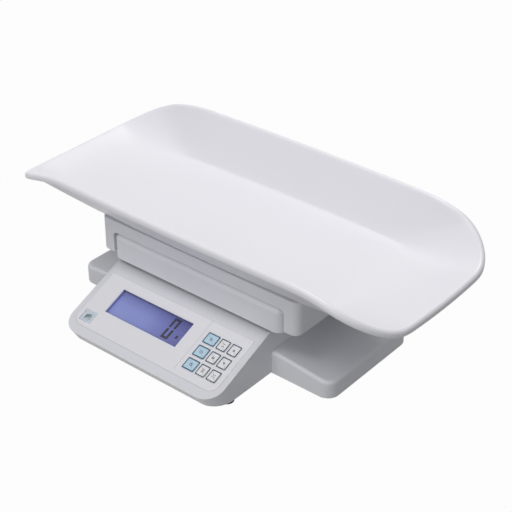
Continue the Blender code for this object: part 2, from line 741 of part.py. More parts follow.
def make_load_cell():
    """Aluminium bar with two bores joined by a slot, which make its four thin bending places."""
    half = CELL_LENGTH / 2
    width = CELL_WIDTH / 2
    bar = brick((-half, AXIS_Y - width, CELL_BOTTOM), (half, AXIS_Y + width, CELL_TOP))
    cell = place("load_cell", bar, "aluminium", (0, AXIS_Y, CELL_BOTTOM))
    middle = CELL_BOTTOM + CELL_HEIGHT / 2
    cutter_half = width + OVERRUN
    for side in (-1, 1):
        bore = tipped(rod(0, 0, CELL_BORE, -cutter_half, cutter_half, ROUND_SIDES), 90, "X")
        cut(cell, moved(bore, (side * CELL_BORE_SPACING / 2, AXIS_Y, middle)))
    cut(cell, brick((-CELL_BORE_SPACING / 2, AXIS_Y - cutter_half, middle - CELL_SLOT / 2),
                    (CELL_BORE_SPACING / 2, AXIS_Y + cutter_half, middle + CELL_SLOT / 2)))
    room = CELL_SCREW_BITE + GAP + PLATFORM_TRAVEL
    cut(cell, *[rod(x, y, BIG_SCREW_RADIUS + GAP, CELL_TOP - room, CELL_TOP + OVERRUN)
                for x, y in cell_screw_places(1)])
    cut(cell, *[rod(x, y, BIG_SCREW_RADIUS + GAP, CELL_BOTTOM - OVERRUN, CELL_BOTTOM + CELL_SCREW_BITE + GAP)
                for x, y in cell_screw_places(-1)])
    length = PLATE_TOP + CELL_SEAT - FOOT_HEIGHT - BIG_HEAD + CELL_SCREW_BITE
    for number, (x, y) in enumerate(cell_screw_places(-1)):
        shape = screw(x, y, BIG_HEAD_RADIUS, BIG_HEAD, BIG_SCREW_RADIUS, FOOT_HEIGHT + GAP, length)
        place("cell_base_screw_%d" % (number + 1), shape, "steel", (x, y, FOOT_HEIGHT))
    stop_x = half - CELL_END / 2
    stop = rod(stop_x, AXIS_Y, STOP_RADIUS, FOOT_HEIGHT + GAP, CELL_BOTTOM - STOP_CLEARANCE)
    place("overload_stop", stop, "steel", (stop_x, AXIS_Y, FOOT_HEIGHT))


def front_foot_places():
    y = FRONT + FRONT_FOOT_DEPTH
    return [(CONSOLE_LEFT + FRONT_FOOT_INSET, y), (CONSOLE_RIGHT - FRONT_FOOT_INSET, y)]


def rear_foot_places():
    x, y = BASE_LENGTH / 2 - REAR_FOOT_INSET_X, BASE_BACK - REAR_FOOT_INSET_Y
    return [(-x, y), (x, y)]


def base_screw_places():
    """Screws in the wings, two in each, and two in the strip behind the block."""
    x = BASE_LENGTH / 2 - REAR_FOOT_INSET_X
    front = BASE_FACE + REAR_FOOT_INSET_Y
    inner = (x + CONSOLE_WIDTH / 2) / 2
    back = BASE_BACK - BACK_STRIP / 2
    return [(-x, front), (x, front), (-inner, back), (inner, back)]


def main_board_box():
    left = CONSOLE_LEFT + WALL + MAIN_BOARD_INSET
    back = BLOCK_BACK - WALL - MAIN_BOARD_BACK
    return left, back - MAIN_BOARD_DEPTH, left + MAIN_BOARD_LENGTH, back


def main_board_posts():
    left, front, right, back = main_board_box()
    inset = BOARD_BOSS_INSET
    return [(x, y) for x in (left + inset, right - inset) for y in (front + inset, back - inset)]


def wing_height(x):
    """Height of the slab's top, which is level across the middle and slopes down to both ends."""
    return BASE_TOP - max(0, abs(x) - CONSOLE_WIDTH / 2) * math.tan(WING_SLOPE)


def slab_shape(inset, bottom, corner):
    """Slab drawn as a front outline and pulled back, with round upright corners."""
    half, shoulder = BASE_LENGTH / 2 - inset, CONSOLE_WIDTH / 2
    tops = [(x, wing_height(x) - inset) for x in (half, shoulder, -shoulder, -half)]
    outline = [(-half, bottom), (half, bottom)] + tops
    slab = tipped(prism(outline, inset - BASE_DEPTH, -inset), 90, "X")
    edges = [edge for edge in slab.edges
             if all(abs(abs(vert.co.x) - half) < GAP for vert in edge.verts)
             and abs(edge.verts[0].co.y - edge.verts[1].co.y) < GAP]
    bmesh.ops.bevel(slab, geom=edges, offset=corner, segments=CORNER_FACETS, profile=0.5,
                    affect="EDGES", clamp_overlap=True, material=-1)
    return moved(slab, (0, BASE_FACE, 0))


def make_base_cover():
    """Slab cover whose middle is open for the console's block, so that it has two wings."""
    outer = slab_shape(0, FOOT_HEIGHT, BASE_CORNER)
    soften(outer, BASE_EDGE)
    cover = place("base_cover", outer, "grey_plastic", (0, AXIS_Y, FOOT_HEIGHT))
    cut(cover, slab_shape(WALL, FOOT_HEIGHT - OVERRUN, BASE_CORNER - WALL))
    fuse(cover, *[rod(x, y, BOSS_RADIUS, PLATE_TOP + GAP, wing_height(x) - WALL / 2)
                  for x, y in base_screw_places()])
    cut(cover, *[rod(x, y, SCREW_RADIUS + GAP, PLATE_TOP - OVERRUN, PLATE_TOP + SCREW_BITE + GAP)
                 for x, y in base_screw_places()])
    cut(cover, brick((CONSOLE_LEFT - GAP, BASE_FACE - OVERRUN, FOOT_HEIGHT - OVERRUN),
                     (CONSOLE_RIGHT + GAP, BLOCK_BACK + GAP, BASE_TOP + OVERRUN)))
    return cover


def make_base_plate():
    """Steel plate under the slab, with the seat of the load cell and the board's standoffs."""
    half = BASE_LENGTH / 2 - WALL - GAP
    front, back = BASE_FACE + WALL + GAP, BASE_BACK - WALL - GAP
    corner = BASE_CORNER - WALL - GAP
    shape = prism(round_outline(-half, front, half, back, (corner,) * 4), FOOT_HEIGHT, PLATE_TOP)
    plate = place("base_plate", shape, "steel", (0, AXIS_Y, FOOT_HEIGHT))
    lip = PLATE / 2
    fuse(plate, brick((CONSOLE_LEFT, BASE_FACE + GAP, FOOT_HEIGHT), (CONSOLE_RIGHT, front + lip, PLATE_TOP)))
    end = CELL_LENGTH / 2
    fuse(plate, brick((-end, AXIS_Y - CELL_WIDTH / 2, PLATE_TOP - lip),
                      (CELL_END - end, AXIS_Y + CELL_WIDTH / 2, PLATE_TOP + CELL_SEAT)))
    stop_x = end - CELL_END / 2
    stop_top = PLATE_TOP + STOP_BOSS_HEIGHT
    fuse(plate, rod(stop_x, AXIS_Y, STOP_BOSS_RADIUS, PLATE_TOP - lip, stop_top, ROUND_SIDES))
    top = PLATE_TOP + STANDOFF
    head = top + GAP + BOARD_THICKNESS + GAP
    fuse(plate, *[board_post(x, y, PLATE_TOP - lip, top, head) for x, y in main_board_posts()])
    fuse(plate, *[foot_boss(x, y) for x, y in rear_foot_places()])
    low, high = FOOT_HEIGHT - OVERRUN, PLATE_TOP + OVERRUN
    cut(plate, *[foot_hole(x, y) for x, y in rear_foot_places()])
    cut(plate, *[rod(x, y, SCREW_RADIUS + GAP, low, high) for x, y in base_screw_places()])
    cut(plate, *[rod(x, y, BIG_SCREW_RADIUS + GAP, low, high + CELL_SEAT) for x, y in cell_screw_places(-1)])
    cut(plate, *[rod(x, y, BIG_HEAD_RADIUS + GAP, low, FOOT_HEIGHT + GAP + BIG_HEAD + GAP)
                 for x, y in cell_screw_places(-1)])
    cut(plate, rod(stop_x, AXIS_Y, STOP_RADIUS + GAP, low, high + STOP_BOSS_HEIGHT))
    return plate


def foot_boss(x, y):
    """Boss on a floor plate, which the stud of a levelling foot screws into."""
    return rod(x, y, FOOT_BOSS_RADIUS, PLATE_TOP - PLATE / 2, PLATE_TOP + FOOT_BOSS_HEIGHT, ROUND_SIDES)


def foot_hole(x, y):
    low, high = FOOT_HEIGHT - OVERRUN, PLATE_TOP + FOOT_BOSS_HEIGHT + OVERRUN
    return rod(x, y, STUD_RADIUS + GAP, low, high, ROUND_SIDES)


def board_post(x, y, root, seat, head):
    """Post with a pin through a board above it, and the pin's flattened head."""
    tip = head + PIN_HEAD
    profile = [(0, root), (BOARD_BOSS_RADIUS, root), (BOARD_BOSS_RADIUS, seat), (PIN_RADIUS, seat),
               (PIN_RADIUS, head), (PIN_HEAD_RADIUS, head), (PIN_HEAD_RADIUS - PIN_HEAD / 2, tip), (0, tip)]
    return turned(profile, x, y)


def console_shape(inset, bottom, block_bottom, corner, back_corner, edge):
    """Wedge with a raised block behind it, drawn as a side profile and pulled across."""
    toe, front, back = FRONT - CONSOLE_TOE + inset, FRONT - CONSOLE_NOSE + inset, BLOCK_BACK - inset
    lift = inset / math.cos(PANEL_SLOPE)
    slope = math.tan(PANEL_SLOPE)
    top = BLOCK_TOP - inset
    nose = PANEL_FOOT + (front - FRONT) * slope - lift
    toe += (front - toe) * (bottom - FOOT_HEIGHT) / (nose - FOOT_HEIGHT)
    crease = FRONT + (top - PANEL_FOOT + lift) / slope
    step = BASE_FACE - GAP
    profile = [(toe, bottom), (front, nose), (crease, top), (back, top), (back, block_bottom)]
    if bottom != block_bottom:
        profile += [(step, block_bottom), (step, bottom)]
    left, right = CONSOLE_LEFT + inset, CONSOLE_RIGHT - inset
    shape = bmesh.new()
    face = shape.faces.new([shape.verts.new((left, y, z)) for y, z in profile])
    raised = bmesh.ops.extrude_face_region(shape, geom=[face], use_keep_orig=True)
    verts = [piece for piece in raised["geom"] if isinstance(piece, bmesh.types.BMVert)]
    bmesh.ops.translate(shape, vec=(right - left, 0, 0), verts=verts)
    bmesh.ops.recalc_face_normals(shape, faces=shape.faces)
    for near, far, radius in ((front, toe, corner), (back, back, back_corner)):
        edges = [item for item in shape.edges
                 if all(near - GAP < vert.co.y < max(near, far) + GAP for vert in item.verts)
                 and abs(item.verts[0].co.x - item.verts[1].co.x) < GAP]
        bmesh.ops.bevel(shape, geom=edges, offset=radius, segments=CORNER_FACETS, profile=0.5,
                        affect="EDGES", clamp_overlap=True, material=-1)
    if edge:
        soften(shape, edge)
    return shape


def overlay_outline(margin=0.0):
    """Outline of the face overlay in panel places, grown by a margin."""
    half = CONSOLE_WIDTH / 2 - OVERLAY_SIDE + margin
    front, back = OVERLAY_FRONT - margin, PANEL_LENGTH - OVERLAY_BACK + margin
    near, far = OVERLAY_FRONT_CORNER + margin, OVERLAY_BACK_CORNER + margin
    return round_outline(-half, front, half, back, (near, near, far, far))


def window_box(margin=0.0):
    half = WINDOW_LENGTH / 2 + margin
    return WINDOW_X - half, WINDOW_UP - margin, WINDOW_X + half, WINDOW_UP + WINDOW_WIDTH + margin


def level_box(margin=0.0):
    half, width = LEVEL_WINDOW_LENGTH / 2 + margin, LEVEL_WINDOW_WIDTH / 2 + margin
    return LEVEL_X - half, LEVEL_UP - width, LEVEL_X + half, LEVEL_UP + width


def key_boxes(margin=0.0):
    """Boxes of the nine keys in panel places, row by row from the front."""
    boxes = []
    for row in range(KEY_ROWS):
        front = KEY_UP + row * (KEY_DEPTH + KEY_GAP_UP)
        left = KEY_X
        for column in range(KEY_COLUMNS):
            width = FIRST_KEY_WIDTH if column == 0 else KEY_WIDTH
            boxes.append((left - margin, front - margin, left + width + margin, front + KEY_DEPTH + margin))
            left += width + KEY_GAP_X
    return boxes


def middle_of(box):
    left, front, right, back = box
    return (left + right) / 2, (front + back) / 2


def board_box():
    half = CONSOLE_WIDTH / 2
    return -half + BOARD_LEFT, BOARD_FRONT, half - BOARD_RIGHT, BOARD_FRONT + BOARD_LENGTH_UP


def display_post_places():
    """Board posts in panel places, clear of the display frame and the keys."""
    left, front, right, back = board_box()
    inset = BOARD_BOSS_INSET
    between = (WINDOW_X + WINDOW_LENGTH / 2 + KEY_X) / 2
    return [(left + inset, front + inset), (left + inset, back - inset),
            (between, front + inset), (right - inset, back - inset)]


def console_screw_places():
    """Two screws along the front and two at the back corners of the console floor."""
    front = FRONT + CONSOLE_BOSS_INSET
    back = BASE_FACE - CONSOLE_BOSS_INSET
    left, right = CONSOLE_LEFT + CONSOLE_BOSS_INSET, CONSOLE_RIGHT - CONSOLE_BOSS_INSET
    return [(left + FRONT_BOSS_SHIFT, front), (right - CONSOLE_CORNER, front), (left, back), (right, back)]


def boss_under_panel(x, y):
    """Screw post that rises from the console floor to the middle of the sloping wall."""
    bottom = PLATE_TOP + GAP
    shape = rod(x, y, BOSS_RADIUS, bottom, BLOCK_TOP)
    middle = PANEL @ Vector((0, 0, -WALL / 2))
    for vert in shape.verts:
        if vert.co.z > (bottom + BLOCK_TOP) / 2:
            vert.co.z = middle.z + (vert.co.y - middle.y) * math.tan(PANEL_SLOPE)
    return shape


def make_console_housing():
    """Moulded housing of the console: sloping panel, raised block, and every opening in them."""
    outer = console_shape(0.0, FOOT_HEIGHT, PLATE_TOP + GAP, CONSOLE_CORNER, CONSOLE_BACK_CORNER,
                          CONSOLE_EDGE)
    housing = place("console_housing", outer, "grey_plastic", (CONSOLE_OFFSET, FRONT, FOOT_HEIGHT))
    low = FOOT_HEIGHT - OVERRUN
    cut(housing, console_shape(WALL, low, low, CONSOLE_CORNER - WALL, CONSOLE_BACK_CORNER - WALL, 0.0))
    fuse(housing, *[boss_under_panel(x, y) for x, y in console_screw_places()])
    under = BOARD_DEPTH + BOARD_THICKNESS + GAP
    posts = [board_post(x, y, WALL / 2, BOARD_DEPTH - GAP, under) for x, y in display_post_places()]
    fuse(housing, on_panel(turn_down(group(posts))))
    cut(housing, on_panel(prism(overlay_outline(GAP), -PANEL_RECESS, OVERRUN)))
    for left, front, right, back in (window_box(-WINDOW_LEDGE), level_box(-WINDOW_LEDGE)):
        cut(housing, on_panel(brick((left, front, -WALL - OVERRUN), (right, back, OVERRUN))))
    stems = [rod(*middle_of(box), KEY_STEM_RADIUS + GAP, -WALL - OVERRUN, OVERRUN) for box in key_boxes()]
    cut(housing, on_panel(group(stems)))
    cut(housing, *[rod(x, y, SCREW_RADIUS + GAP, PLATE_TOP - OVERRUN, PLATE_TOP + SCREW_BITE + GAP)
                   for x, y in console_screw_places()])
    end, width = CELL_LENGTH / 2, CELL_WIDTH / 2 + POST_WINDOW
    cut(housing, brick((end - CELL_END - POST_WINDOW, AXIS_Y - width, BLOCK_TOP - WALL - OVERRUN),
                       (end + POST_WINDOW, AXIS_Y + width, BLOCK_TOP + OVERRUN)))
    bore = rod(0, 0, JACK_RADIUS + GAP, -WALL - OVERRUN, OVERRUN, ROUND_SIDES)
    cut(housing, moved(tipped(bore, -90, "X"), (jack_x(), BLOCK_BACK, FOOT_HEIGHT + JACK_RISE)))
    return housing


def jack_x():
    """Place of the power inlet along the back, beside the post on the load cell."""
    return CELL_LENGTH / 2 + JACK_POST_GAP + JACK_FLANGE_RADIUS


def make_power_inlet():
    """Barrel socket in the back wall of the block, with its centre pin."""
    face, root = GAP + JACK_FLANGE, -JACK_LENGTH
    bottom = root + WALL
    profile = [(0, root), (JACK_RADIUS, root), (JACK_RADIUS, GAP), (JACK_FLANGE_RADIUS, GAP),
               (JACK_FLANGE_RADIUS, face), (JACK_BORE, face), (JACK_BORE, bottom), (JACK_PIN, bottom),
               (JACK_PIN, 0), (0, 0)]
    shape = tipped(turned(profile, 0, 0, ROUND_SIDES), -90, "X")
    middle = (jack_x(), BLOCK_BACK, FOOT_HEIGHT + JACK_RISE)
    place("power_inlet", moved(shape, middle), "dark_plastic", middle)


def battery_room():
    """Inside of the battery well, with room for the contacts at both ends."""
    length = CELLS_LONG * (BATTERY_LENGTH + BATTERY_NUB + BATTERY_PLAY) + 2 * (CONTACT + 2 * GAP)
    width = CELLS_WIDE * (2 * BATTERY_RADIUS + BATTERY_PLAY) + BATTERY_PLAY
    left = CONSOLE_OFFSET - length / 2
    front = FRONT + WELL_DEPTH
    return left, front, left + length, front + width


def battery_floor():
    return FOOT_HEIGHT + COVER_THICKNESS + GRIP_RIB + 2 * GAP


def make_console_floor():
    """Bottom of the console with the battery well and the post of the bubble level."""
    margin = WALL + GAP
    plate = console_shape(margin, FOOT_HEIGHT, PLATE_TOP + GAP, CONSOLE_CORNER - margin,
                          CONSOLE_BACK_CORNER - margin, 0.0)
    floor = place("console_floor", plate, "grey_plastic", (CONSOLE_OFFSET, FRONT, FOOT_HEIGHT))
    cut(floor, brick((CONSOLE_LEFT, FRONT - CONSOLE_NOSE, PLATE_TOP), (CONSOLE_RIGHT, BASE_BACK, TRAY_FLOOR)))
    left, front, right, back = battery_room()
    roof = battery_floor() + 2 * BATTERY_RADIUS + BATTERY_PLAY
    fuse(floor, brick((left - WELL_WALL, front - WELL_WALL, PLATE_TOP - PLATE / 2),
                      (right + WELL_WALL, back + WELL_WALL, roof + WELL_WALL)))
    fuse(floor, rod(CONSOLE_OFFSET + VIAL_X, FRONT + VIAL_DEPTH, VIAL_POST_RADIUS, PLATE_TOP - PLATE / 2,
                    FOOT_HEIGHT + VIAL_BOTTOM - GAP))
    fuse(floor, *[foot_boss(x, y) for x, y in front_foot_places()])
    cut(floor, brick((left, front, FOOT_HEIGHT - OVERRUN), (right, back, roof)))
    cut(floor, *[foot_hole(x, y) for x, y in front_foot_places()])
    cut(floor, *[rod(x, y, SCREW_RADIUS + GAP, FOOT_HEIGHT - OVERRUN, PLATE_TOP + OVERRUN)
                 for x, y in console_screw_places()])
    return floor


def make_batteries():
    """Four cells in two rows, leaf contacts at both ends of each row, and the cover under them."""
    left, front, right, back = battery_room()
    pitch = 2 * BATTERY_RADIUS + BATTERY_PLAY
    middle_z = battery_floor() + BATTERY_RADIUS
    number = 0
    for row in range(CELLS_WIDE):
        y = front + BATTERY_PLAY + BATTERY_RADIUS + row * pitch
        for column in range(CELLS_LONG):
            number += 1
            root = left + CONTACT + 2 * GAP + column * (BATTERY_LENGTH + BATTERY_NUB + BATTERY_PLAY)
            end = BATTERY_LENGTH + BATTERY_NUB
            cell = turned([(0, 0), (BATTERY_RADIUS, 0), (BATTERY_RADIUS, BATTERY_LENGTH),
                           (BATTERY_NUB_RADIUS, BATTERY_LENGTH), (BATTERY_NUB_RADIUS, end), (0, end)],
                          0, 0, ROUND_SIDES)
            cell = moved(tipped(cell, 90, "Y"), (root, y, middle_z))
            place("battery_%d" % number, cell, "battery_wrap", (root, y, middle_z))
    for side, start in (("left", left + GAP), ("right", right - GAP - CONTACT)):
        low = (start, front + BATTERY_PLAY, middle_z - CONTACT_WIDTH / 2)
        high = (start + CONTACT, back - BATTERY_PLAY, middle_z + CONTACT_WIDTH / 2)
        place("battery_contact_" + side, brick(low, high), "steel", (start, front, middle_z))
    cover = prism(round_outline(left + GAP, front + GAP, right - GAP, back - GAP, (WALL / 2,) * 4, 2),
                  FOOT_HEIGHT, FOOT_HEIGHT + COVER_THICKNESS)
    x, y = CONSOLE_OFFSET, (front + back) / 2
    lid = place("battery_cover", cover, "grey_plastic", (x, y, FOOT_HEIGHT))
    top = FOOT_HEIGHT + COVER_THICKNESS
    for side in (-1, 0, 1):
        at = x + side * BATTERY_LENGTH / 2
        fuse(lid, brick((at - WALL / 2, front + WALL, top - COVER_THICKNESS / 2),
                        (at + WALL / 2, back - WALL, top + GRIP_RIB)))
    grips = []
    for number in range(GRIPS):
        far = back - WALL - number * GRIP_PITCH
        grips.append(brick((x - CONTACT_WIDTH, far - GRIP_WIDTH, FOOT_HEIGHT - OVERRUN),
                           (x + CONTACT_WIDTH, far, FOOT_HEIGHT + GRIP_DEPTH)))
    cut(lid, *grips)


def make_display():
    """Overlay, clear window, glass, backlight, frame, board and switch sheet, from the outside in."""
    under, top = -PANEL_RECESS + GAP, -PANEL_RECESS + GAP + OVERLAY_THICKNESS
    origin = PANEL.translation
    overlay = place("face_overlay", on_panel(prism(overlay_outline(), under, top)), "panel_sheet", origin)
    corner = (KEY_CORNER + GAP,) * 4
    sharp = (0, 0, 0, 0)
    for box in key_boxes(GAP):
        cut(overlay, on_panel(prism(round_outline(*box, corner, 2), -OVERRUN, OVERRUN)))
    for box in (window_box(GAP), level_box(GAP)):
        cut(overlay, on_panel(prism(round_outline(*box, sharp), -OVERRUN, OVERRUN)))
    for name, box in (("display_window", window_box()), ("level_window", level_box())):
        place(name, on_panel(prism(round_outline(*box, sharp), under, top)), "clear_plastic", origin)

    floor = -BOARD_DEPTH + GAP
    light_top = floor + BACKLIGHT_THICKNESS
    left, front, right, back = window_box(GLASS_MARGIN)
    light = brick((left, front, floor), (right, back, light_top))
    place("backlight", on_panel(light), "clear_plastic", origin)
    glass = brick((left, front, light_top + GAP), (right, back, light_top + GAP + GLASS_THICKNESS))
    place("display_glass", on_panel(glass), "display_glass", origin)
    left, front, right, back = window_box(GLASS_MARGIN + GAP + FRAME_WALL)
    block = brick((left, front, floor), (right, back, -WALL - GAP))
    frame = place("display_frame", on_panel(block), "dark_plastic", origin)
    left, front, right, back = window_box(GLASS_MARGIN + GAP)
    cut(frame, on_panel(brick((left, front, -BOARD_DEPTH - OVERRUN), (right, back, OVERRUN))))

    left, front, right, back = board_box()
    board_bottom = -BOARD_DEPTH - BOARD_THICKNESS
    block = brick((left, front, board_bottom), (right, back, -BOARD_DEPTH))
    board = place("display_board", on_panel(block), "circuit_board", origin)
    cut(board, on_panel(group([rod(x, y, PIN_RADIUS + GAP, board_bottom - OVERRUN, -BOARD_DEPTH + OVERRUN)
                               for x, y in display_post_places()])))
    boxes = key_boxes()
    sheet_top = floor + SWITCH_SHEET
    low, high = (boxes[0][0], boxes[0][1], floor), (boxes[-1][2], boxes[-1][3], sheet_top)
    sheet = place("switch_sheet", on_panel(brick(low, high)), "clear_plastic", origin)
    root, crown = floor + SWITCH_SHEET / 2, sheet_top + DOME_HEIGHT
    profile = [(0, root), (DOME_RADIUS, root), (DOME_RADIUS, sheet_top), (DOME_RADIUS / 2, crown),
               (0, crown)]
    fuse(sheet, on_panel(group([turned(profile, *middle_of(box)) for box in boxes])))


def make_level():
    """Round bubble level, lying flat under its window."""
    x, y, bottom = CONSOLE_OFFSET + VIAL_X, FRONT + VIAL_DEPTH, FOOT_HEIGHT + VIAL_BOTTOM
    top, edge = bottom + VIAL_HEIGHT, VIAL_RADIUS - VIAL_BEVEL
    profile = [(0, bottom), (VIAL_RADIUS, bottom), (VIAL_RADIUS, top - VIAL_BEVEL), (edge, top), (0, top)]
    place("level_vial", turned(profile, x, y, ROUND_SIDES), "clear_plastic", (x, y, bottom))


def make_keys():
    """Nine keys, each a thin cap with a stem that reaches down to its switch dome."""
    top = -PANEL_RECESS + GAP + OVERLAY_THICKNESS + KEY_PROUD
    under = top - KEY_THICKNESS
    tip = -BOARD_DEPTH + GAP + SWITCH_SHEET + DOME_HEIGHT + GAP + KEY_TRAVEL
    for number, box in enumerate(key_boxes()):
        x, y = middle_of(box)
        cap = prism(round_outline(*box, (KEY_CORNER,) * 4, 2), under, top)
        origin = PANEL @ Vector((x, y, top))
        colour = "key_blue" if number % KEY_COLUMNS == 0 else "key_white"
        key = place("key_%d" % (number + 1), on_panel(cap), colour, origin)
        fuse(key, on_panel(rod(x, y, KEY_STEM_RADIUS, tip, under + KEY_THICKNESS / 2)))


def make_main_board():
    """Main board with its chips, and the buzzer on it."""
    left, front, right, back = main_board_box()
    bottom = PLATE_TOP + STANDOFF + GAP
    top = bottom + BOARD_THICKNESS
    origin = (left, front, bottom)
    board = place("main_board", brick((left, front, bottom), (right, back, top)), "circuit_board", origin)
    cut(board, *[rod(x, y, PIN_RADIUS + GAP, bottom - OVERRUN, top + OVERRUN)
                 for x, y in main_board_posts()])
    length, depth = right - left, back - front
    root = bottom + BOARD_THICKNESS / 2
    chips = []
    for along, across, wide, deep in CHIP_SHARES:
        x, y = left + along * length, front + across * depth
        chips.append(brick((x - wide * length / 2, y - deep * depth / 2, root),
                           (x + wide * length / 2, y + deep * depth / 2, top + CHIP_HEIGHT)))
    fuse(board, *chips)
    buzzer_x, buzzer_y = right - 2 * BUZZER_RADIUS, back - 2 * BUZZER_RADIUS
    low, high, port = top + GAP, top + BUZZER_HEIGHT, BUZZER_RADIUS / 4
    profile = [(0, low), (BUZZER_RADIUS, low), (BUZZER_RADIUS, high), (port, high), (port, (low + high) / 2),
               (0, (low + high) / 2)]
    buzzer = turned(profile, buzzer_x, buzzer_y, ROUND_SIDES)
    place("buzzer", buzzer, "dark_plastic", (buzzer_x, buzzer_y, top))


def make_housing_screws():
    """Screws driven up through the plate and the console floor."""
    bottom = FOOT_HEIGHT - GAP - SCREW_HEAD
    length = GAP + PLATE + SCREW_BITE
    for name, places in (("base_screw", base_screw_places()), ("console_screw", console_screw_places())):
        for number, (x, y) in enumerate(places):
            shape = screw(x, y, SCREW_HEAD_RADIUS, SCREW_HEAD, SCREW_RADIUS, bottom, length)
            place("%s_%d" % (name, number + 1), shape, "steel", (x, y, FOOT_HEIGHT))


def make_cables():
    """Cable from the load cell to the main board, and from there to the display board."""
    left, front, right, back = main_board_box()
    lying = PLATE_TOP + STANDOFF + GAP + BOARD_THICKNESS + GAP + CABLE_RADIUS
    slack = Vector((CABLE_SLACK, 0, 0))
    lift = Vector((0, 0, CABLE_SLACK))
    start = Vector((-CELL_LENGTH / 2 - GAP, AXIS_Y, CELL_BOTTOM + CELL_HEIGHT / 2))
    end = Vector((right - CABLE_SLACK, (front + back) / 2, lying))
    lead = [start, start - slack, (start + end) / 2 + lift, end + slack + lift / 2, end]
    place("load_cell_cable", tube(lead, CABLE_RADIUS), "dark_plastic", start)
    board_left, _, _, board_back = board_box()
    under = -BOARD_DEPTH - BOARD_THICKNESS - GAP - CABLE_RADIUS
    plug = PANEL @ Vector((board_left + 2 * CABLE_SLACK, board_back - 2 * CABLE_SLACK, under))
    socket = Vector((left + 2 * CABLE_SLACK, front + CABLE_SLACK, lying))
    reach = Vector((0, CABLE_SLACK, 0))
    lead = [plug, plug + reach / 2 - lift, socket - 3 * reach + lift, socket - reach + lift / 4, socket]
    place("display_cable", tube(lead, CABLE_RADIUS), "dark_plastic", plug)


def foot_stud(x, y):
    """Threaded stud with a finger wheel and a round pin that turns in the rubber pad."""
    pin = FOOT_PAD_HEIGHT - FOOT_SOCKET + GAP
    wheel = FOOT_PAD_HEIGHT + FOOT_WHEEL_GAP
    seat = FOOT_HEIGHT - GAP
    shape = turned([(0, pin), (FOOT_PIN_RADIUS, pin), (FOOT_PIN_RADIUS, wheel), (WHEEL_RADIUS, wheel),
                    (WHEEL_RADIUS, seat), (STUD_RADIUS, seat), (STUD_RADIUS, seat + STUD_LENGTH - GAP),
                    (STUD_RADIUS - 2 * GAP, seat + STUD_LENGTH), (0, seat + STUD_LENGTH)], 0, 0, ROUND_SIDES)
    for vert in shape.verts:
        if vert.co.xy.length > WHEEL_RADIUS - GAP:
            step = round(math.atan2(vert.co.y, vert.co.x) * ROUND_SIDES / math.tau)
            if step % 2:
                vert.co.xy *= WHEEL_NOTCH_SHARE
    bmesh.ops.translate(shape, vec=(x, y, 0), verts=shape.verts)
    return shape


def make_feet():
    """Four levelling feet, each a pad and the stud that turns in it."""
    names = ("front_left", "front_right", "rear_left", "rear_right")
    for name, (x, y) in zip(names, front_foot_places() + rear_foot_places()):
        axis = carrier("foot_axis_" + name, (x, y, 0))
        socket = FOOT_PAD_HEIGHT - FOOT_SOCKET
        hole = FOOT_PIN_RADIUS + GAP
        profile = [(0, 0), (FOOT_PAD_RADIUS, 0), (FOOT_PAD_RADIUS, FOOT_PAD_HEIGHT), (hole, FOOT_PAD_HEIGHT),
                   (hole, socket), (0, socket)]
        pad = turned(profile, x, y, ROUND_SIDES)
        place("foot_pad_" + name, pad, "rubber", (x, y, 0), axis)
        place("foot_stud_" + name, foot_stud(x, y), "dark_plastic", (x, y, 0), axis)


def main():
    clear_scene()
    platform = carrier("platform_axis", (0, AXIS_Y, PLATFORM_BOTTOM))
    tray = carrier("tray_axis", (0, AXIS_Y, PLATFORM_TOP))
    make_base_cover()
    make_base_plate()
    make_console_housing()
    make_console_floor()
    make_display()
    make_level()
    make_keys()
    make_main_board()
    make_batteries()
    make_load_cell()
    make_power_inlet()
    make_cables()
    make_housing_screws()
    make_feet()
    make_platform(platform)
    make_bracket(platform)
    make_cell_top_screws(platform)
    make_tray(tray)
    make_tray_mount(tray)


main()
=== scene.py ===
"""Looks of the baby weighing scale: finer pieces, finishes, studio light and the camera.

Metres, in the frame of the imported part: +X along the tray, -Y towards the reader of the display, +Z up.
Panel places are across from the console's middle, up the sloping panel, and out of it.
"""
import math

import bmesh
import bpy
from mathutils import Matrix, Vector


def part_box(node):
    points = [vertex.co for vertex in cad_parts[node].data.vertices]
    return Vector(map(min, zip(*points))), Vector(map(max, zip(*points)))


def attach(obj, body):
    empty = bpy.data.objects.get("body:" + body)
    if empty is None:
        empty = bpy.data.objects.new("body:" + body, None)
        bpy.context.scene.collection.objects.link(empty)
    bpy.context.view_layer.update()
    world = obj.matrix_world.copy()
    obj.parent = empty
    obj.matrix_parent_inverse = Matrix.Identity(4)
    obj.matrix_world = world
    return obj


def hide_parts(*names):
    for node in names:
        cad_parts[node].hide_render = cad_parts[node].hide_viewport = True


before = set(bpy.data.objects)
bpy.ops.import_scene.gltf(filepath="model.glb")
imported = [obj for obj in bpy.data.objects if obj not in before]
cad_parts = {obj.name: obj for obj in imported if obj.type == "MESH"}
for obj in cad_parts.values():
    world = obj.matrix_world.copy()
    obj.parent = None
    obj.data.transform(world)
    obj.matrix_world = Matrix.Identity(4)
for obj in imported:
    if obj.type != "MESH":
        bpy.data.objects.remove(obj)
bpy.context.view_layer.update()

# Shared by the pieces: fit, wall, tolerance of tests, height of the feet, sharp and softened angles
GAP = 0.0003
WALL = 0.0025
TOUCH = 0.00001
FOOT_HEIGHT = 0.008
SHARP_ANGLE, SOFT_ANGLE = 38.0, 40
SQUARE = (0, 0, 0, 0)
ROUND_SIDES = 48

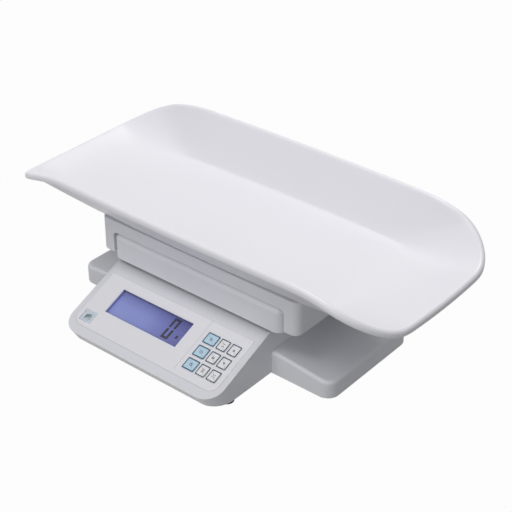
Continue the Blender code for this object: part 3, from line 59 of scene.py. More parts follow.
# Tray
AXIS_Y = 0.0288
TRAY_LENGTH, TRAY_WIDTH, TRAY_CORNER = 0.590, 0.278, 0.060
FLOOR_LENGTH, FLOOR_WIDTH, FLOOR_CORNER = 0.410, 0.181, 0.042
FLOOR_INSETS = (0.010, 0.018)
TRAY_FLOOR = 0.12957
TRAY_SKIN = 0.003
RIM_RADIUS, RIM_LIP = 0.0052, 0.0036
RIM_SIDE_RISE, RIM_END_RISE = 0.049, 0.008
SIDE_BOW, END_BOW = 0.055, 0.017
LEVEL_SHARE, FALL_POWER = 0.6, 2.2
SIDE_POWER, END_POWER = 1.12, 1.9
WALL_SHARES = (0.05, 0.12, 0.22, 0.34, 0.48, 0.62, 0.76, 0.89, 1.0)
ROLL_STEPS = 6
QUARTER_STEPS = (9, 9, 5)

# Mount and platform
MOUNT_X, MOUNT_Y, MOUNT_CORNER = 0.1572, 0.0937, 0.010
MOUNT_BOTTOM, MOUNT_ROOF, MOUNT_TOP = 0.08027, 0.12377, 0.12627
MOUNT_RIB, RIB_SPACING = 0.009, 0.060
SKIRT_EDGE, RIB_EDGE = 0.0007, 0.0004
NOTCH_X, NOTCH_TOP, NOTCH_CORNER, NOTCH_RETURN = 0.1370, 0.10967, 0.006, 0.016
LUG_RADIUS, LUG_X, LUG_Y, LUG_SEAT, LUG_EDGE = 0.010, 0.1055, 0.071, 0.0006, 0.0008
PLATFORM_X, PLATFORM_Y = 0.1355, 0.097
PLATFORM_BOTTOM, PLATFORM_TOP = 0.07617, 0.10917
PLATFORM_CORNER, PLATFORM_EDGE = 0.012, 0.0072
PLATFORM_RIB = 0.008

# Base and console
BASE_X, BASE_FACE, BASE_BACK, BASE_TOP = 0.204, -0.0596, 0.1029, 0.0392
BASE_CORNER, BASE_EDGE = 0.016, 0.0045
WING_SLOPE = math.radians(5.7)
BLOCK_BACK, BLOCK_TOP, BLOCK_BOTTOM = 0.0809, 0.06827, 0.0108
CONSOLE_MIDDLE, CONSOLE_HALF = -0.0084, 0.124
FRONT, PANEL_FOOT = -0.1572, 0.0281
CONSOLE_NOSE, CONSOLE_TOE = 0.0106, 0.0007
PANEL_SLOPE = math.radians(23.05)
CONSOLE_CORNER, BACK_CORNER, CONSOLE_EDGE = 0.024, 0.006, 0.0035
CONSOLE_SKIN = 0.0018
POST_SLOT, POST_CORNER = (0.0270, 0.0098, 0.0690, 0.0478), 0.002
INLET_HOLE = 0.0052
PANEL = Matrix.Translation((CONSOLE_MIDDLE, FRONT, PANEL_FOOT)) @ Matrix.Rotation(PANEL_SLOPE, 4, "X")
OUTWARD = (PANEL.to_3x3() @ Vector((0, 0, 1))).normalized()

# Panel: sheet, windows and keys, in panel places
PANEL_RECESS = 0.0009
OVERLAY_TOP, OVERLAY_UNDER = 0.0002, -0.0006
OVERLAY_HALF, OVERLAY_FRONT, OVERLAY_BACK = 0.1155, 0.0014, 0.0837
OVERLAY_CORNERS = (0.013, 0.013, 0.0015, 0.0015)
WINDOW = (-0.0852, 0.0319, 0.0310, 0.0696)
GLASS_TOP = -0.0041
SEAL_WIDTH = 0.0005
LEVEL_WINDOW = (-0.10965, 0.00775, -0.09115, 0.02425)
DIVIDER_X, DIVIDER_WIDTH, DIVIDER_START = 0.0504, 0.0005, 0.005
PRINT_RISE = 0.00006
KEY_LEFTS = ((0.0568, 0.0748), (0.0774, 0.0915), (0.0941, 0.1082))
KEY_FRONTS = ((0.0133, 0.0292), (0.0333, 0.0492), (0.0533, 0.0692))
KEY_TOP, KEY_THICKNESS, KEY_CORNER = 0.0008, 0.0008, 0.0012
KEY_LINE, KEY_EDGE = 0.0013, 0.0002

# Plain signs on the keys
SIGN_BAR, SIGN_LENGTH, ROW_SHIFT, COLUMN_SHIFT = 0.0008, 0.0040, 0.0018, 0.0010
ARROW_HALF, ARROW_FOOT, ARROW_TIP = 0.0018, 0.0013, 0.0019
SIGN_OUTER, SIGN_INNER, TICK_FOOT, TICK_TIP = 0.0021, 0.0014, 0.0002, 0.0030
DOT_RADIUS, DOT_SHIFT = 0.0007, 0.0013

# Display's zero and its point, in panel places
DIGIT_FOOT, DIGIT_WIDTH, DIGIT_HEIGHT, DIGIT_STROKE = (0.0009, 0.0371), 0.0106, 0.0307, 0.0032
DIGIT_SLANT, SEGMENT_CLEAR, SEGMENT_NOTCH = 0.036, 0.0003, 0.0001
POINT_MIDDLE, POINT_HALF, POINT_CORNER = (0.0209, 0.0453), (0.0014, 0.0023), 0.0004

# Bubble level: vial, ring, bubble, collar up to the sloping sheet, and the sheet's mask with its hole
VIAL_RADIUS, VIAL_TOP, VIAL_SHOULDER, VIAL_CHAMFER = 0.0075, 0.0311, 0.0012, 0.0004
RING_OUTER, RING_INNER, RING_RISE = 0.0062, 0.0055, 0.0002
BUBBLE_RADIUS, BUBBLE_RISE = 0.0034, 0.0004
COLLAR_INNER, COLLAR_OUTER, COLLAR_REACH = 0.0063, 0.0071, 0.012
MASK_UNDER, MASK_HOLE, MASK_SHIFT = 1.5 * OVERLAY_UNDER, 0.0050, (0.0001, -0.0007)

# Levelling feet
PAD_RADIUS, PAD_EDGE, PAD_TOP_EDGE, PAD_SOCKET = 0.009, 0.0006, 0.0005, 0.0020
WHEEL_RADIUS, WHEEL_EDGE, WHEEL_NOTCHES = 0.010, 0.0006, 18
NOTCH_BAND, NOTCH_SHARE = 0.001, 0.95
STUD_RADIUS, STUD_EDGE, PIN_RADIUS = 0.004, 0.0008, 0.003

# Studio: the floor's tone, the share of white that the camera sees in it, and the world's fill
FLOOR_TONE = 130
FLOOR_WHITE_SHARE = 0.975
WORLD_FILL = 0.28
# Lamps: name, place, size across and power
LAMPS = (("top_back_lamp", (-0.4, 1.2, 2.2), 1.2, 26.5),
         ("top_front_lamp", (-0.2, -1.2, 2.2), 1.2, 15.5),
         ("front_lamp", (0.5, -2.4, 0.9), 2.0, 15))

# Camera: the picture's side and the lens, both in pixels, and the width of the sensor
PICTURE_SIDE, LENS_PIXELS, SENSOR = 512, 1350, 36


def shader_of(name, colour, roughness, metallic=0.0, **sockets):
    """Material with its constants on the shader's own sockets, its shader and its node tree."""
    material = bpy.data.materials.new(name)
    material.use_nodes = True
    shader = material.node_tree.nodes["Principled BSDF"]
    shader.inputs["Base Color"].default_value = (*colour, 1.0)
    shader.inputs["Roughness"].default_value = roughness
    shader.inputs["Metallic"].default_value = metallic
    for socket, value in sockets.items():
        shader.inputs[socket.replace("_", " ")].default_value = value
    return material, shader, material.node_tree


def srgb(red, green, blue):
    """Linear colour from the 0 to 255 values that a picture would show."""
    values = (red / 255, green / 255, blue / 255)
    return tuple(v / 12.92 if v <= 0.04045 else ((v + 0.055) / 1.055) ** 2.4 for v in values)


def node(tree, kind, **settings):
    """New shader node, with each setting on its input of that name or else on the node itself."""
    item = tree.nodes.new("ShaderNode" + kind)
    for key, value in settings.items():
        if key in item.inputs:
            item.inputs[key].default_value = value
        else:
            setattr(item, key, value)
    return item


def wired(tree, *links):
    """Links, each from an output of one node to an input of another."""
    for source, outlet, target, inlet in links:
        tree.links.new(source.outputs[outlet], target.inputs[inlet])


def coordinates(tree, scale=(1, 1, 1)):
    """Object coordinates, stretched by a Mapping node."""
    mapping = node(tree, "Mapping", Scale=scale)
    wired(tree, (node(tree, "TexCoord"), "Object", mapping, "Vector"))
    return mapping


def uneven_gloss(tree, shader, noise, low, high):
    """Roughness that follows a noise between two limits."""
    gloss = node(tree, "MapRange", **{"To Min": low, "To Max": high})
    wired(tree, (noise, "Fac", gloss, "Value"), (gloss, "Result", shader, "Roughness"))


def fine_relief(tree, shader, noise, strength, distance):
    """Small bumps that follow a noise."""
    relief = node(tree, "Bump", Strength=strength, Distance=distance)
    wired(tree, (noise, "Fac", relief, "Height"), (relief, "Normal", shader, "Normal"))


def moulded(name, colour, roughness, grain=900.0, bump=0.04, mottle=0.015):
    """Moulded plastic: faint cloudy tone, fine spark-eroded grain, and slightly uneven gloss."""
    material, shader, tree = shader_of(name, colour, roughness)
    where = coordinates(tree)
    cloud = node(tree, "TexNoise", Scale=9.0, Detail=3.0, Roughness=0.5)
    tone = node(tree, "ValToRGB")
    dark, pale = tone.color_ramp.elements
    dark.position, pale.position = 0.3, 0.7
    dark.color = (*[c * (1 - mottle) for c in colour], 1)
    pale.color = (*[min(1.0, c * (1 + mottle)) for c in colour], 1)
    pits = node(tree, "TexNoise", Scale=grain, Detail=2.0, Roughness=0.6)
    wired(tree, (where, "Vector", cloud, "Vector"), (where, "Vector", pits, "Vector"),
          (cloud, "Fac", tone, "Fac"), (tone, "Color", shader, "Base Color"))
    uneven_gloss(tree, shader, cloud, roughness * 0.9, min(1.0, roughness * 1.12))
    fine_relief(tree, shader, pits, bump, 0.0002)
    return material


def brushed(name, colour, roughness, along=(1, 60, 60)):
    """Metal with fine scratches along one direction."""
    material, shader, tree = shader_of(name, colour, roughness, 1.0)
    streaks = node(tree, "TexNoise", Scale=40.0, Detail=4.0, Roughness=0.6)
    wired(tree, (coordinates(tree, along), "Vector", streaks, "Vector"))
    uneven_gloss(tree, shader, streaks, roughness * 0.7, roughness * 1.4)
    fine_relief(tree, shader, streaks, 0.15, 0.0001)
    return material


def panel_coordinates(tree):
    """Nodes that give the places across the panel, up its slope and out of it, and each of them apart."""
    mapping = node(tree, "Mapping", vector_type="TEXTURE",
                   Location=PANEL.translation, Rotation=(PANEL_SLOPE, 0, 0))
    split = node(tree, "SeparateXYZ")
    wired(tree, (node(tree, "TexCoord"), "Object", mapping, "Vector"),
          (mapping, "Vector", split, "Vector"))
    return mapping, split


def ramp_over(tree, places, axis, low, high, stops):
    """Colours that follow a place along an axis between two limits."""
    span = node(tree, "MapRange", **{"From Min": low, "From Max": high})
    ramp = node(tree, "ValToRGB")
    while len(ramp.color_ramp.elements) < len(stops):
        ramp.color_ramp.elements.new(0.5)
    for element, (at, colour) in zip(ramp.color_ramp.elements, stops):
        element.position = at
        element.color = (*colour, 1)
    wired(tree, (places, axis, span, "Value"), (span, "Result", ramp, "Fac"))
    return ramp


def display_glass_with_painted_shade(name):
    """Lilac display glass, with a painted reflection that makes it palest at the left, painted shade at the
    right, and a painted shadow of the recess's edge along its upper edge.
    """
    material, shader, tree = shader_of(name, srgb(120, 128, 190), 0.28)
    where, axes = panel_coordinates(tree)
    # Across the glass: a painted reflection makes the left palest, and painted shade darkens the right.
    across = ramp_over(tree, axes, "X", WINDOW[0], WINDOW[2],
                       ((0.0, srgb(158, 168, 232)), (0.45, srgb(148, 160, 228)), (0.72, srgb(126, 132, 204)),
                        (1.0, srgb(108, 108, 178))))
    # Up the slope: a painted shadow of the recess's upper edge, darker towards the top.
    painted_shadow_ramp = ramp_over(tree, axes, "Y", WINDOW[1], WINDOW[3],
                       ((0.0, (1.0, 1.0, 1.0)), (0.55, (0.96, 0.96, 0.98)), (0.85, (0.74, 0.72, 0.80)),
                        (1.0, (0.52, 0.50, 0.60))))
    tint = node(tree, "Mix", data_type="RGBA", blend_type="MULTIPLY")
    tint.inputs["Factor"].default_value = 1.0
    cells = node(tree, "TexNoise", Scale=700.0, Detail=1.0)
    wired(tree, (across, "Color", tint, 6), (painted_shadow_ramp, "Color", tint, 7), (tint, 2, shader, "Base Color"),
          (where, "Vector", cells, "Vector"))
    fine_relief(tree, shader, cells, 0.02, 0.0001)
    return material


def recess_wall_with_painted_shadow(name):
    """Walls of the display's recess: lilac by the glass's lower edge, and a painted shadow in dark violet
    along the upper one.
    """
    material, shader, tree = shader_of(name, srgb(120, 126, 190), 0.5)
    axes = panel_coordinates(tree)[1]
    # Painted shadow: dark violet along the upper wall, where the recess's edge shades it.
    tone = ramp_over(tree, axes, "Y", WINDOW[1], WINDOW[3],
                     ((0.0, srgb(150, 158, 216)), (0.9, srgb(132, 140, 206)), (1.0, srgb(78, 72, 132))))
    wired(tree, (tone, "Color", shader, "Base Color"))
    return material


def clear_sheet(name, tint, roughness, alpha):
    """Thin clear plastic with a faint haze."""
    material, shader, tree = shader_of(name, tint, roughness, Alpha=alpha)
    haze = node(tree, "TexNoise", Scale=60.0, Detail=2.0)
    wired(tree, (coordinates(tree), "Vector", haze, "Vector"))
    uneven_gloss(tree, shader, haze, roughness * 0.8, roughness * 1.3)
    return material


white_plastic = moulded("white_plastic", srgb(234, 233, 238), 0.34, mottle=0.006)
grey_plastic = moulded("grey_plastic", srgb(229, 230, 235), 0.42, mottle=0.01)
# Console housing: the body's plastic, painted paler to stand in for the light on its sloping panel.
console_plastic_with_painted_light = moulded("console_plastic_with_painted_light", srgb(238, 238, 243), 0.42, mottle=0.006)
under_plastic = moulded("under_plastic", srgb(206, 208, 214), 0.5, mottle=0.02)
panel_sheet = moulded("panel_sheet", srgb(248, 247, 251), 0.45, grain=1400.0, bump=0.02, mottle=0.004)
printed_line = moulded("printed_line", srgb(206, 203, 214), 0.5, bump=0.02)
key_white = moulded("key_white", srgb(252, 253, 254), 0.4, bump=0.02, mottle=0.004)
key_blue = moulded("key_blue", srgb(204, 233, 250), 0.4, bump=0.02, mottle=0.02)
key_line = moulded("key_line", srgb(12, 54, 82), 0.45, bump=0.02)
key_mark = moulded("key_mark", srgb(112, 112, 122), 0.5, bump=0.02)
segment_ink = moulded("segment_ink", srgb(20, 8, 22), 0.35, bump=0.01)
# Seal round the display glass: lilac, with a painted shadow along its upper side.
seal_with_painted_shadow = recess_wall_with_painted_shadow("seal_with_painted_shadow")
dark_plastic = moulded("dark_plastic", srgb(38, 39, 42), 0.5, mottle=0.05)
rubber = moulded("rubber", srgb(40, 40, 42), 0.8, grain=500.0, bump=0.2, mottle=0.08)
milky = moulded("milky_plastic", srgb(226, 230, 236), 0.4)
board_green = moulded("board_green", srgb(28, 92, 56), 0.45, grain=300.0, bump=0.1, mottle=0.12)
wrap = moulded("battery_wrap", srgb(70, 76, 86), 0.35, mottle=0.05)
bubble = moulded("bubble", srgb(190, 202, 204), 0.15, bump=0.01)
vial_white = moulded("vial_white", srgb(238, 246, 250), 0.25, bump=0.01)
aluminium = brushed("aluminium", srgb(196, 198, 202), 0.35)
steel = brushed("steel", srgb(182, 184, 188), 0.32, along=(30, 30, 30))
# Display glass: lilac, with a painted reflection, painted shade and a painted shadow along its upper edge.
display_lilac_painted_shade = display_glass_with_painted_shade("display_glass")
window_clear = clear_sheet("window_clear", srgb(210, 220, 235), 0.08, alpha=0.03)
level_clear = clear_sheet("level_clear", srgb(222, 234, 242), 0.12, alpha=0.08)
level_tint = moulded("level_tint", srgb(226, 233, 242), 0.4, bump=0.01)


def mesh_of(name, shape):
    """Mesh of a shape, which is used up."""
    mesh = bpy.data.meshes.new(name)
    shape.to_mesh(mesh)
    shape.free()
    return mesh


def placed(name, data):
    """New object of a mesh, a lamp or a camera, in the scene."""
    item = bpy.data.objects.new(name, data)
    bpy.context.collection.objects.link(item)
    return item


def piece(name, shape, body, materials, replaces=(), smooth=SHARP_ANGLE):
    """Finished piece, drawn where it belongs, with its finish and the body that it rides on."""
    bmesh.ops.recalc_face_normals(shape, faces=shape.faces)
    mesh = mesh_of(name, shape)
    mesh.shade_smooth()
    mesh.set_sharp_from_angle(angle=math.radians(smooth))
    for material in materials if isinstance(materials, (list, tuple)) else [materials]:
        mesh.materials.append(material)
    item = placed(name, mesh)
    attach(item, body)
    if replaces:
        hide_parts(*replaces)
    return item


def round_outline(left, front, right, back, radii=SQUARE, steps=10):
    """Rectangle with rounded corners, from the front left corner, counterclockwise."""
    corners = ((left, front, 1, 1, 180), (right, front, -1, 1, 270),
               (right, back, -1, -1, 0), (left, back, 1, -1, 90))
    points = []
    for (x, y, inward_x, inward_y, start), radius in zip(corners, radii):
        middle = Vector((x + inward_x * radius, y + inward_y * radius))
        turns = steps if radius else 0
        for step in range(turns + 1):
            angle = math.radians(start + (90 * step / steps if turns else 0))
            points.append(middle + radius * Vector((math.cos(angle), math.sin(angle))))
    return points


def loop_of(shape, places):
    """Closed loop of edges through some places."""
    verts = [shape.verts.new(place) for place in places]
    return [shape.edges.new(pair) for pair in zip(verts, verts[1:] + verts[:1])]


def ring_of(shape, outline, height):
    """Closed loop of edges along a flat outline."""
    return loop_of(shape, [(x, y, height) for x, y in outline])


def capped(shape, edges):
    """Face across a closed loop of edges."""
    return bmesh.ops.contextual_create(shape, geom=edges)["faces"][0]


def thickened(shape, faces, move):
    """Pull flat faces along a vector into a closed solid."""
    result = bmesh.ops.extrude_face_region(shape, geom=faces, use_keep_orig=True)
    verts = [part for part in result["geom"] if isinstance(part, bmesh.types.BMVert)]
    bmesh.ops.translate(shape, vec=move, verts=verts)
    bmesh.ops.recalc_face_normals(shape, faces=shape.faces)
    return shape


def prism(outline, bottom, top, holes=()):
    """Plate of any outline, with holes, as one closed solid."""
    shape = bmesh.new()
    edges = ring_of(shape, outline, bottom)
    for hole in holes:
        edges += ring_of(shape, hole, bottom)
    if holes:
        bmesh.ops.triangle_fill(shape, edges=edges, use_beauty=True)
    else:
        capped(shape, edges)
    return thickened(shape, list(shape.faces), (0, 0, top - bottom))


def bevel_edges(shape, edges, radius, segments):
    """Rounding on chosen edges."""
    bmesh.ops.bevel(shape, geom=edges, offset=radius, segments=segments, profile=0.5,
                    affect="EDGES", clamp_overlap=True, material=-1)


def softened(item, width, segments=3):
    """Small rounding on every sharp edge of a finished piece."""
    step = item.modifiers.new("soft_edges", "BEVEL")
    step.width = width
    step.segments = segments
    step.limit_method = "ANGLE"
    step.angle_limit = math.radians(SOFT_ANGLE)
    return item


def walled(item, thickness):
    """Wall thickness for a piece drawn as its outer skin."""
    step = item.modifiers.new("wall", "SOLIDIFY")
    step.thickness = thickness
    step.offset = -1
    step.use_even_offset = True
    step.use_rim = True
    return item


def turned(profile, x, y, sides=ROUND_SIDES):
    """Solid of revolution about an upright axis, from (radius, height) points that start and end on it."""
    shape = bmesh.new()
    verts = [shape.verts.new((radius, 0, height)) for radius, height in profile]
    edges = [shape.edges.new(pair) for pair in zip(verts, verts[1:])]
    bmesh.ops.spin(shape, geom=verts + edges, cent=(0, 0, 0), axis=(0, 0, 1), angle=math.tau,
                   steps=sides, use_merge=True)
    bmesh.ops.remove_doubles(shape, verts=shape.verts, dist=0.000002)
    bmesh.ops.recalc_face_normals(shape, faces=shape.faces)
    bmesh.ops.translate(shape, vec=(x, y, 0), verts=shape.verts)
    return shape


def joined(*shapes):
    """One shape of several that stay apart."""
    whole = bmesh.new()
    for shape in shapes:
        mesh = mesh_of("join", shape)
        whole.from_mesh(mesh)
        bpy.data.meshes.remove(mesh)
    return whole


def on_panel(shape):
    """Move a shape from panel places (across, up the slope, out of it) to the world."""
    bmesh.ops.transform(shape, matrix=PANEL, verts=shape.verts)
    return shape


def brick(low, high):
    """Box between two corners."""
    low, high = Vector(low), Vector(high)
    shape = bmesh.new()
    bmesh.ops.create_cube(shape, size=1.0)
    bmesh.ops.scale(shape, vec=high - low, verts=shape.verts)
    bmesh.ops.translate(shape, vec=(low + high) / 2, verts=shape.verts)
    return shape


def rib(x, half_x, half_y, low, high):
    """Upright rib across the tray's axis, by its middle and half its size."""
    return brick((x - half_x, AXIS_Y - half_y, low), (x + half_x, AXIS_Y + half_y, high))


def tray_outline(length, width, corner):
    """Rounded rectangle with bowed sides, clockwise from the middle of the back."""
    half, side = length / 2, width / 2
    long_steps, corner_steps, short_steps = QUARTER_STEPS
    start, straight = Vector((0, side)), Vector((half - corner, side))
    quarter = [start.lerp(straight, step / long_steps) for step in range(long_steps)]
    middle = Vector((half - corner, side - corner))
    for step in range(corner_steps):
        angle = math.radians(90 * step / corner_steps)
        quarter.append(middle + corner * Vector((math.sin(angle), math.cos(angle))))
    straight = Vector((half, side - corner))
    quarter += [straight.lerp(Vector((half, 0)), step / short_steps) for step in range(short_steps)]
    lower = [Vector((point.x, -point.y)) for point in [Vector((half, 0))] + quarter[:0:-1]]
    right = quarter + lower
    loop = right + [-point for point in right]
    return [Vector((p.x * (1 - END_BOW * (p.y / side) ** 2), p.y * (1 - SIDE_BOW * (p.x / half) ** 2)))
            for p in loop]


def tray_rise(x):
    """Height of the rim's centre above the tray floor: level along the sides, low at the ends."""
    reach = abs(x) / (TRAY_LENGTH / 2 - RIM_RADIUS)
    fall = max(0.0, (reach - LEVEL_SHARE) / (1 - LEVEL_SHARE)) ** FALL_POWER
    return RIM_SIDE_RISE + (RIM_END_RISE - RIM_SIDE_RISE) * min(1.0, fall)


def tray_section(foot, rim, out, rise):
    """One section of the tray, from the floor's edge up the wall and over the rolled rim."""
    power = SIDE_POWER + (END_POWER - SIDE_POWER) * out.x ** 2
    slope = math.atan2(power * rise, (rim - foot).length)
    top = rim - out * RIM_RADIUS * math.sin(slope)
    height = rise + RIM_RADIUS * math.cos(slope)
    points = []
    for share in WALL_SHARES:
        level = foot.lerp(top, share)
        points.append((level.x, AXIS_Y + level.y, TRAY_FLOOR + height * share ** power))
    for step in range(1, ROLL_STEPS + 1):
        angle = (math.pi / 2 + slope) * (1 - step / ROLL_STEPS)
        level = rim + out * RIM_RADIUS * math.cos(angle)
        points.append((level.x, AXIS_Y + level.y, TRAY_FLOOR + rise + RIM_RADIUS * math.sin(angle)))
    end = points[-1]
    points.append((end[0], end[1], end[2] - RIM_LIP))
    return points


def make_tray():
    """Cradle: the floor's outline pulled ring by ring up the wall and over the rim, then given its skin."""
    rim = tray_outline(TRAY_LENGTH - 2 * RIM_RADIUS, TRAY_WIDTH - 2 * RIM_RADIUS, TRAY_CORNER)
    floor = tray_outline(FLOOR_LENGTH, FLOOR_WIDTH, FLOOR_CORNER)
    count = len(rim)
    sections = []
    for index, (foot, edge) in enumerate(zip(floor, rim)):
        along = rim[(index + 1) % count] - rim[index - 1]
        out = Vector((-along.y, along.x)).normalized()
        sections.append(tray_section(foot, edge, out, tray_rise(edge.x)))
    shape = bmesh.new()
    edges = ring_of(shape, [(p.x, AXIS_Y + p.y) for p in floor], TRAY_FLOOR)
    ring = [edge.verts[0] for edge in edges]
    floor_face = capped(shape, edges)
    loop = edges
    for level in zip(*sections):
        fresh, loop = fresh_row(shape, loop)
        ahead = {}
        for vert in fresh:
            for edge in vert.link_edges:
                other = edge.other_vert(vert)
                if other in ring:
                    ahead[other] = vert
        ring = [ahead[vert] for vert in ring]
        for vert, point in zip(ring, level):
            vert.co = point
    for width in FLOOR_INSETS:
        bmesh.ops.inset_region(shape, faces=[floor_face], thickness=width, use_even_offset=True)
    tray = piece("cradle_tray", shape, "tray", white_plastic, ("tray_shell",), smooth=60)
    walled(tray, TRAY_SKIN)
    smooth = tray.modifiers.new("smooth", "SUBSURF")
    smooth.levels = smooth.render_levels = 2
    return tray


def fresh_row(shape, edges):
    """Extrude a row of edges in place, and give back the new corners and the new edges."""
    result = bmesh.ops.extrude_edge_only(shape, edges=edges)
    verts = {part for part in result["geom"] if isinstance(part, bmesh.types.BMVert)}
    return verts, [part for part in result["geom"] if isinstance(part, bmesh.types.BMEdge)
                   and verts.issuperset(part.verts)]


def extruded(shape, edges, move):
    """Pull a row of edges by a vector, and give back the new edges."""
    verts, row = fresh_row(shape, edges)
    bmesh.ops.translate(shape, vec=move, verts=list(verts))
    return row


def circle(x, y, radius, sides=40):
    """Outline of a circle, counterclockwise from its right."""
    turns = [math.tau * step / sides for step in range(sides)]
    return [Vector((x + radius * math.cos(turn), y + radius * math.sin(turn))) for turn in turns]


def lug_places():
    """Middles of the mount's four lugs, which stand in wells of the platform."""
    return [(x, AXIS_Y + y) for x in (-LUG_X, LUG_X) for y in (-LUG_Y, LUG_Y)]


def notch_edge(x):
    """Lower edge of the skirt at the front and back: the notch's roof with its round corners."""
    past = abs(x) - (NOTCH_X - NOTCH_CORNER)
    if past <= 0:
        return NOTCH_TOP
    return NOTCH_TOP - NOTCH_CORNER + math.sqrt(max(0.0, NOTCH_CORNER ** 2 - min(past, NOTCH_CORNER) ** 2))


def make_tray_mount():
    """Skirt under the tray: a roof, and walls with a notch at front and back that straddles the platform."""
    arc, turns = 10, 8
    corners = round_outline(-MOUNT_X, AXIS_Y - MOUNT_Y, MOUNT_X, AXIS_Y + MOUNT_Y, (MOUNT_CORNER,) * 4, arc)
    across = [NOTCH_X - NOTCH_CORNER * (1 - math.sin(math.radians(90 * step / turns)))
              for step in range(turns + 1)]
    front = [Vector((-x, AXIS_Y - MOUNT_Y)) for x in reversed(across)]
    front += [Vector((x, AXIS_Y - MOUNT_Y)) for x in across]
    back = [Vector((-point.x, 2 * AXIS_Y - point.y)) for point in front]
    count = arc + 1
    outline = corners[:count] + front + corners[count:3 * count] + back + corners[3 * count:]
    shape = bmesh.new()
    edges = ring_of(shape, outline, MOUNT_TOP)
    capped(shape, edges)
    loop = extruded(shape, edges, (0, 0, NOTCH_TOP - MOUNT_TOP))
    for vert in {vert for edge in loop for vert in edge.verts}:
        vert.co.z = notch_edge(vert.co.x)
    legs = [edge for edge in loop if all(abs(vert.co.x) > NOTCH_X - TOUCH for vert in edge.verts)]
    for vert in {vert for edge in extruded(shape, legs, (0, 0, 0)) for vert in edge.verts}:
        vert.co.z = MOUNT_BOTTOM
    skirt = piece("tray_skirt", shape, "tray", grey_plastic, ("tray_mount",))
    softened(walled(skirt, WALL), SKIRT_EDGE)

    parts = []
    for side in (-1, 1):
        for face in (-1, 1):
            near, far = sorted((side * NOTCH_X, side * (NOTCH_X + WALL)))
            front, back = sorted((AXIS_Y + face * (MOUNT_Y - WALL), AXIS_Y + face * (MOUNT_Y - NOTCH_RETURN)))
            parts.append(brick((near, front, MOUNT_BOTTOM), (far, back, MOUNT_ROOF)))
    low, depth, reach = MOUNT_ROOF - MOUNT_RIB, MOUNT_Y - WALL, MOUNT_X - WALL
    parts += [rib(x, WALL / 2, depth, low, MOUNT_ROOF) for x in (-RIB_SPACING, 0, RIB_SPACING)]
    parts.append(rib(0, reach, WALL / 2, low, MOUNT_ROOF))
    for x, y in lug_places():
        foot = PLATFORM_TOP - LUG_SEAT + GAP
        profile = [(0, foot), (LUG_RADIUS - LUG_EDGE, foot), (LUG_RADIUS, foot + LUG_EDGE),
                   (LUG_RADIUS, MOUNT_ROOF), (0, MOUNT_ROOF)]
        parts.append(turned(profile, x, y))
    ribs = piece("skirt_ribs", joined(*parts), "tray", grey_plastic)
    softened(ribs, RIB_EDGE, 2)


def make_platform():
    """Box-shaped platform cover with soft edges, open underneath, with a seat for each foot of the mount."""
    outline = round_outline(-PLATFORM_X, AXIS_Y - PLATFORM_Y, PLATFORM_X, AXIS_Y + PLATFORM_Y,
                            (PLATFORM_CORNER,) * 4, 12)
    shape = bmesh.new()
    rim = ring_of(shape, outline, PLATFORM_TOP)
    capped(shape, rim)
    extruded(shape, rim, (0, 0, PLATFORM_BOTTOM - PLATFORM_TOP))
    bmesh.ops.recalc_face_normals(shape, faces=shape.faces)
    bevel_edges(shape, rim, PLATFORM_EDGE, 8)
    wells = open_flat(shape, Vector((0, 0, PLATFORM_TOP)), Vector((0, 0, 1)),
                      [[Vector((x, y, PLATFORM_TOP)) for x, y in circle(*place, LUG_RADIUS + GAP)]
                       for place in lug_places()])
    for well in wells:
        capped(shape, extruded(shape, well, (0, 0, -LUG_SEAT)))
    cover = piece("platform_shell", shape, "platform", grey_plastic, ("platform_cover",))
    walled(cover, WALL)

    roof, depth, reach = PLATFORM_TOP - WALL, PLATFORM_Y - WALL, PLATFORM_X - WALL
    low = roof - PLATFORM_RIB
    ribs = joined(rib(0, reach, WALL / 2, low, roof - LUG_SEAT), rib(0, WALL / 2, depth, low, roof - LUG_SEAT))
    softened(piece("platform_ribs", ribs, "platform", grey_plastic), RIB_EDGE, 2)


def open_flat(shape, point, normal, outlines):
    """Swap the flat faces in a plane for one with holes, and give back the edges of each hole."""
    shape.normal_update()
    flats = [face for face in shape.faces if abs(face.normal.dot(normal)) > 0.9999
             and abs((face.calc_center_median() - point).dot(normal)) < TOUCH]
    bmesh.ops.delete(shape, geom=flats, context="FACES_ONLY")
    edges = [edge for edge in shape.edges if (edge.is_boundary or edge.is_wire)
             and all(abs((vert.co - point).dot(normal)) < TOUCH for vert in edge.verts)]
    holes = [loop_of(shape, outline) for outline in outlines]
    bmesh.ops.triangle_fill(shape, edges=edges + [edge for hole in holes for edge in hole], use_beauty=True)
    return holes


def wing_height(x):
    """Height of the slab's top, level across the middle and sloping down to both ends."""
    return BASE_TOP - max(0.0, abs(x) - CONSOLE_HALF) * math.tan(WING_SLOPE)


def upper_edges(shape):
    """Edges where a level or sloping face turns into an upright one."""
    shape.normal_update()
    edges = []
    for edge in shape.edges:
        upright, level = sorted(face.normal.z for face in edge.link_faces)
        if level > 0.8 and abs(upright) < 0.3:
            edges.append(edge)
    return edges


def pulled(profile, move):
    """Solid from a flat outline of places and the vector that it is pulled along."""
    shape = bmesh.new()
    face = shape.faces.new([shape.verts.new(place) for place in profile])
    return thickened(shape, [face], move)


def upright_edges(shape, test):
    """Upright edges of which both ends pass a test."""
    return [edge for edge in shape.edges if all(test(vert.co) for vert in edge.verts)
            and (edge.verts[0].co - edge.verts[1].co).xy.length < TOUCH]


def drop_faces(shape, test):
    """Take away the faces that pass a test, to open a solid up."""
    shape.normal_update()
    bmesh.ops.delete(shape, geom=[face for face in shape.faces if test(face)], context="FACES")


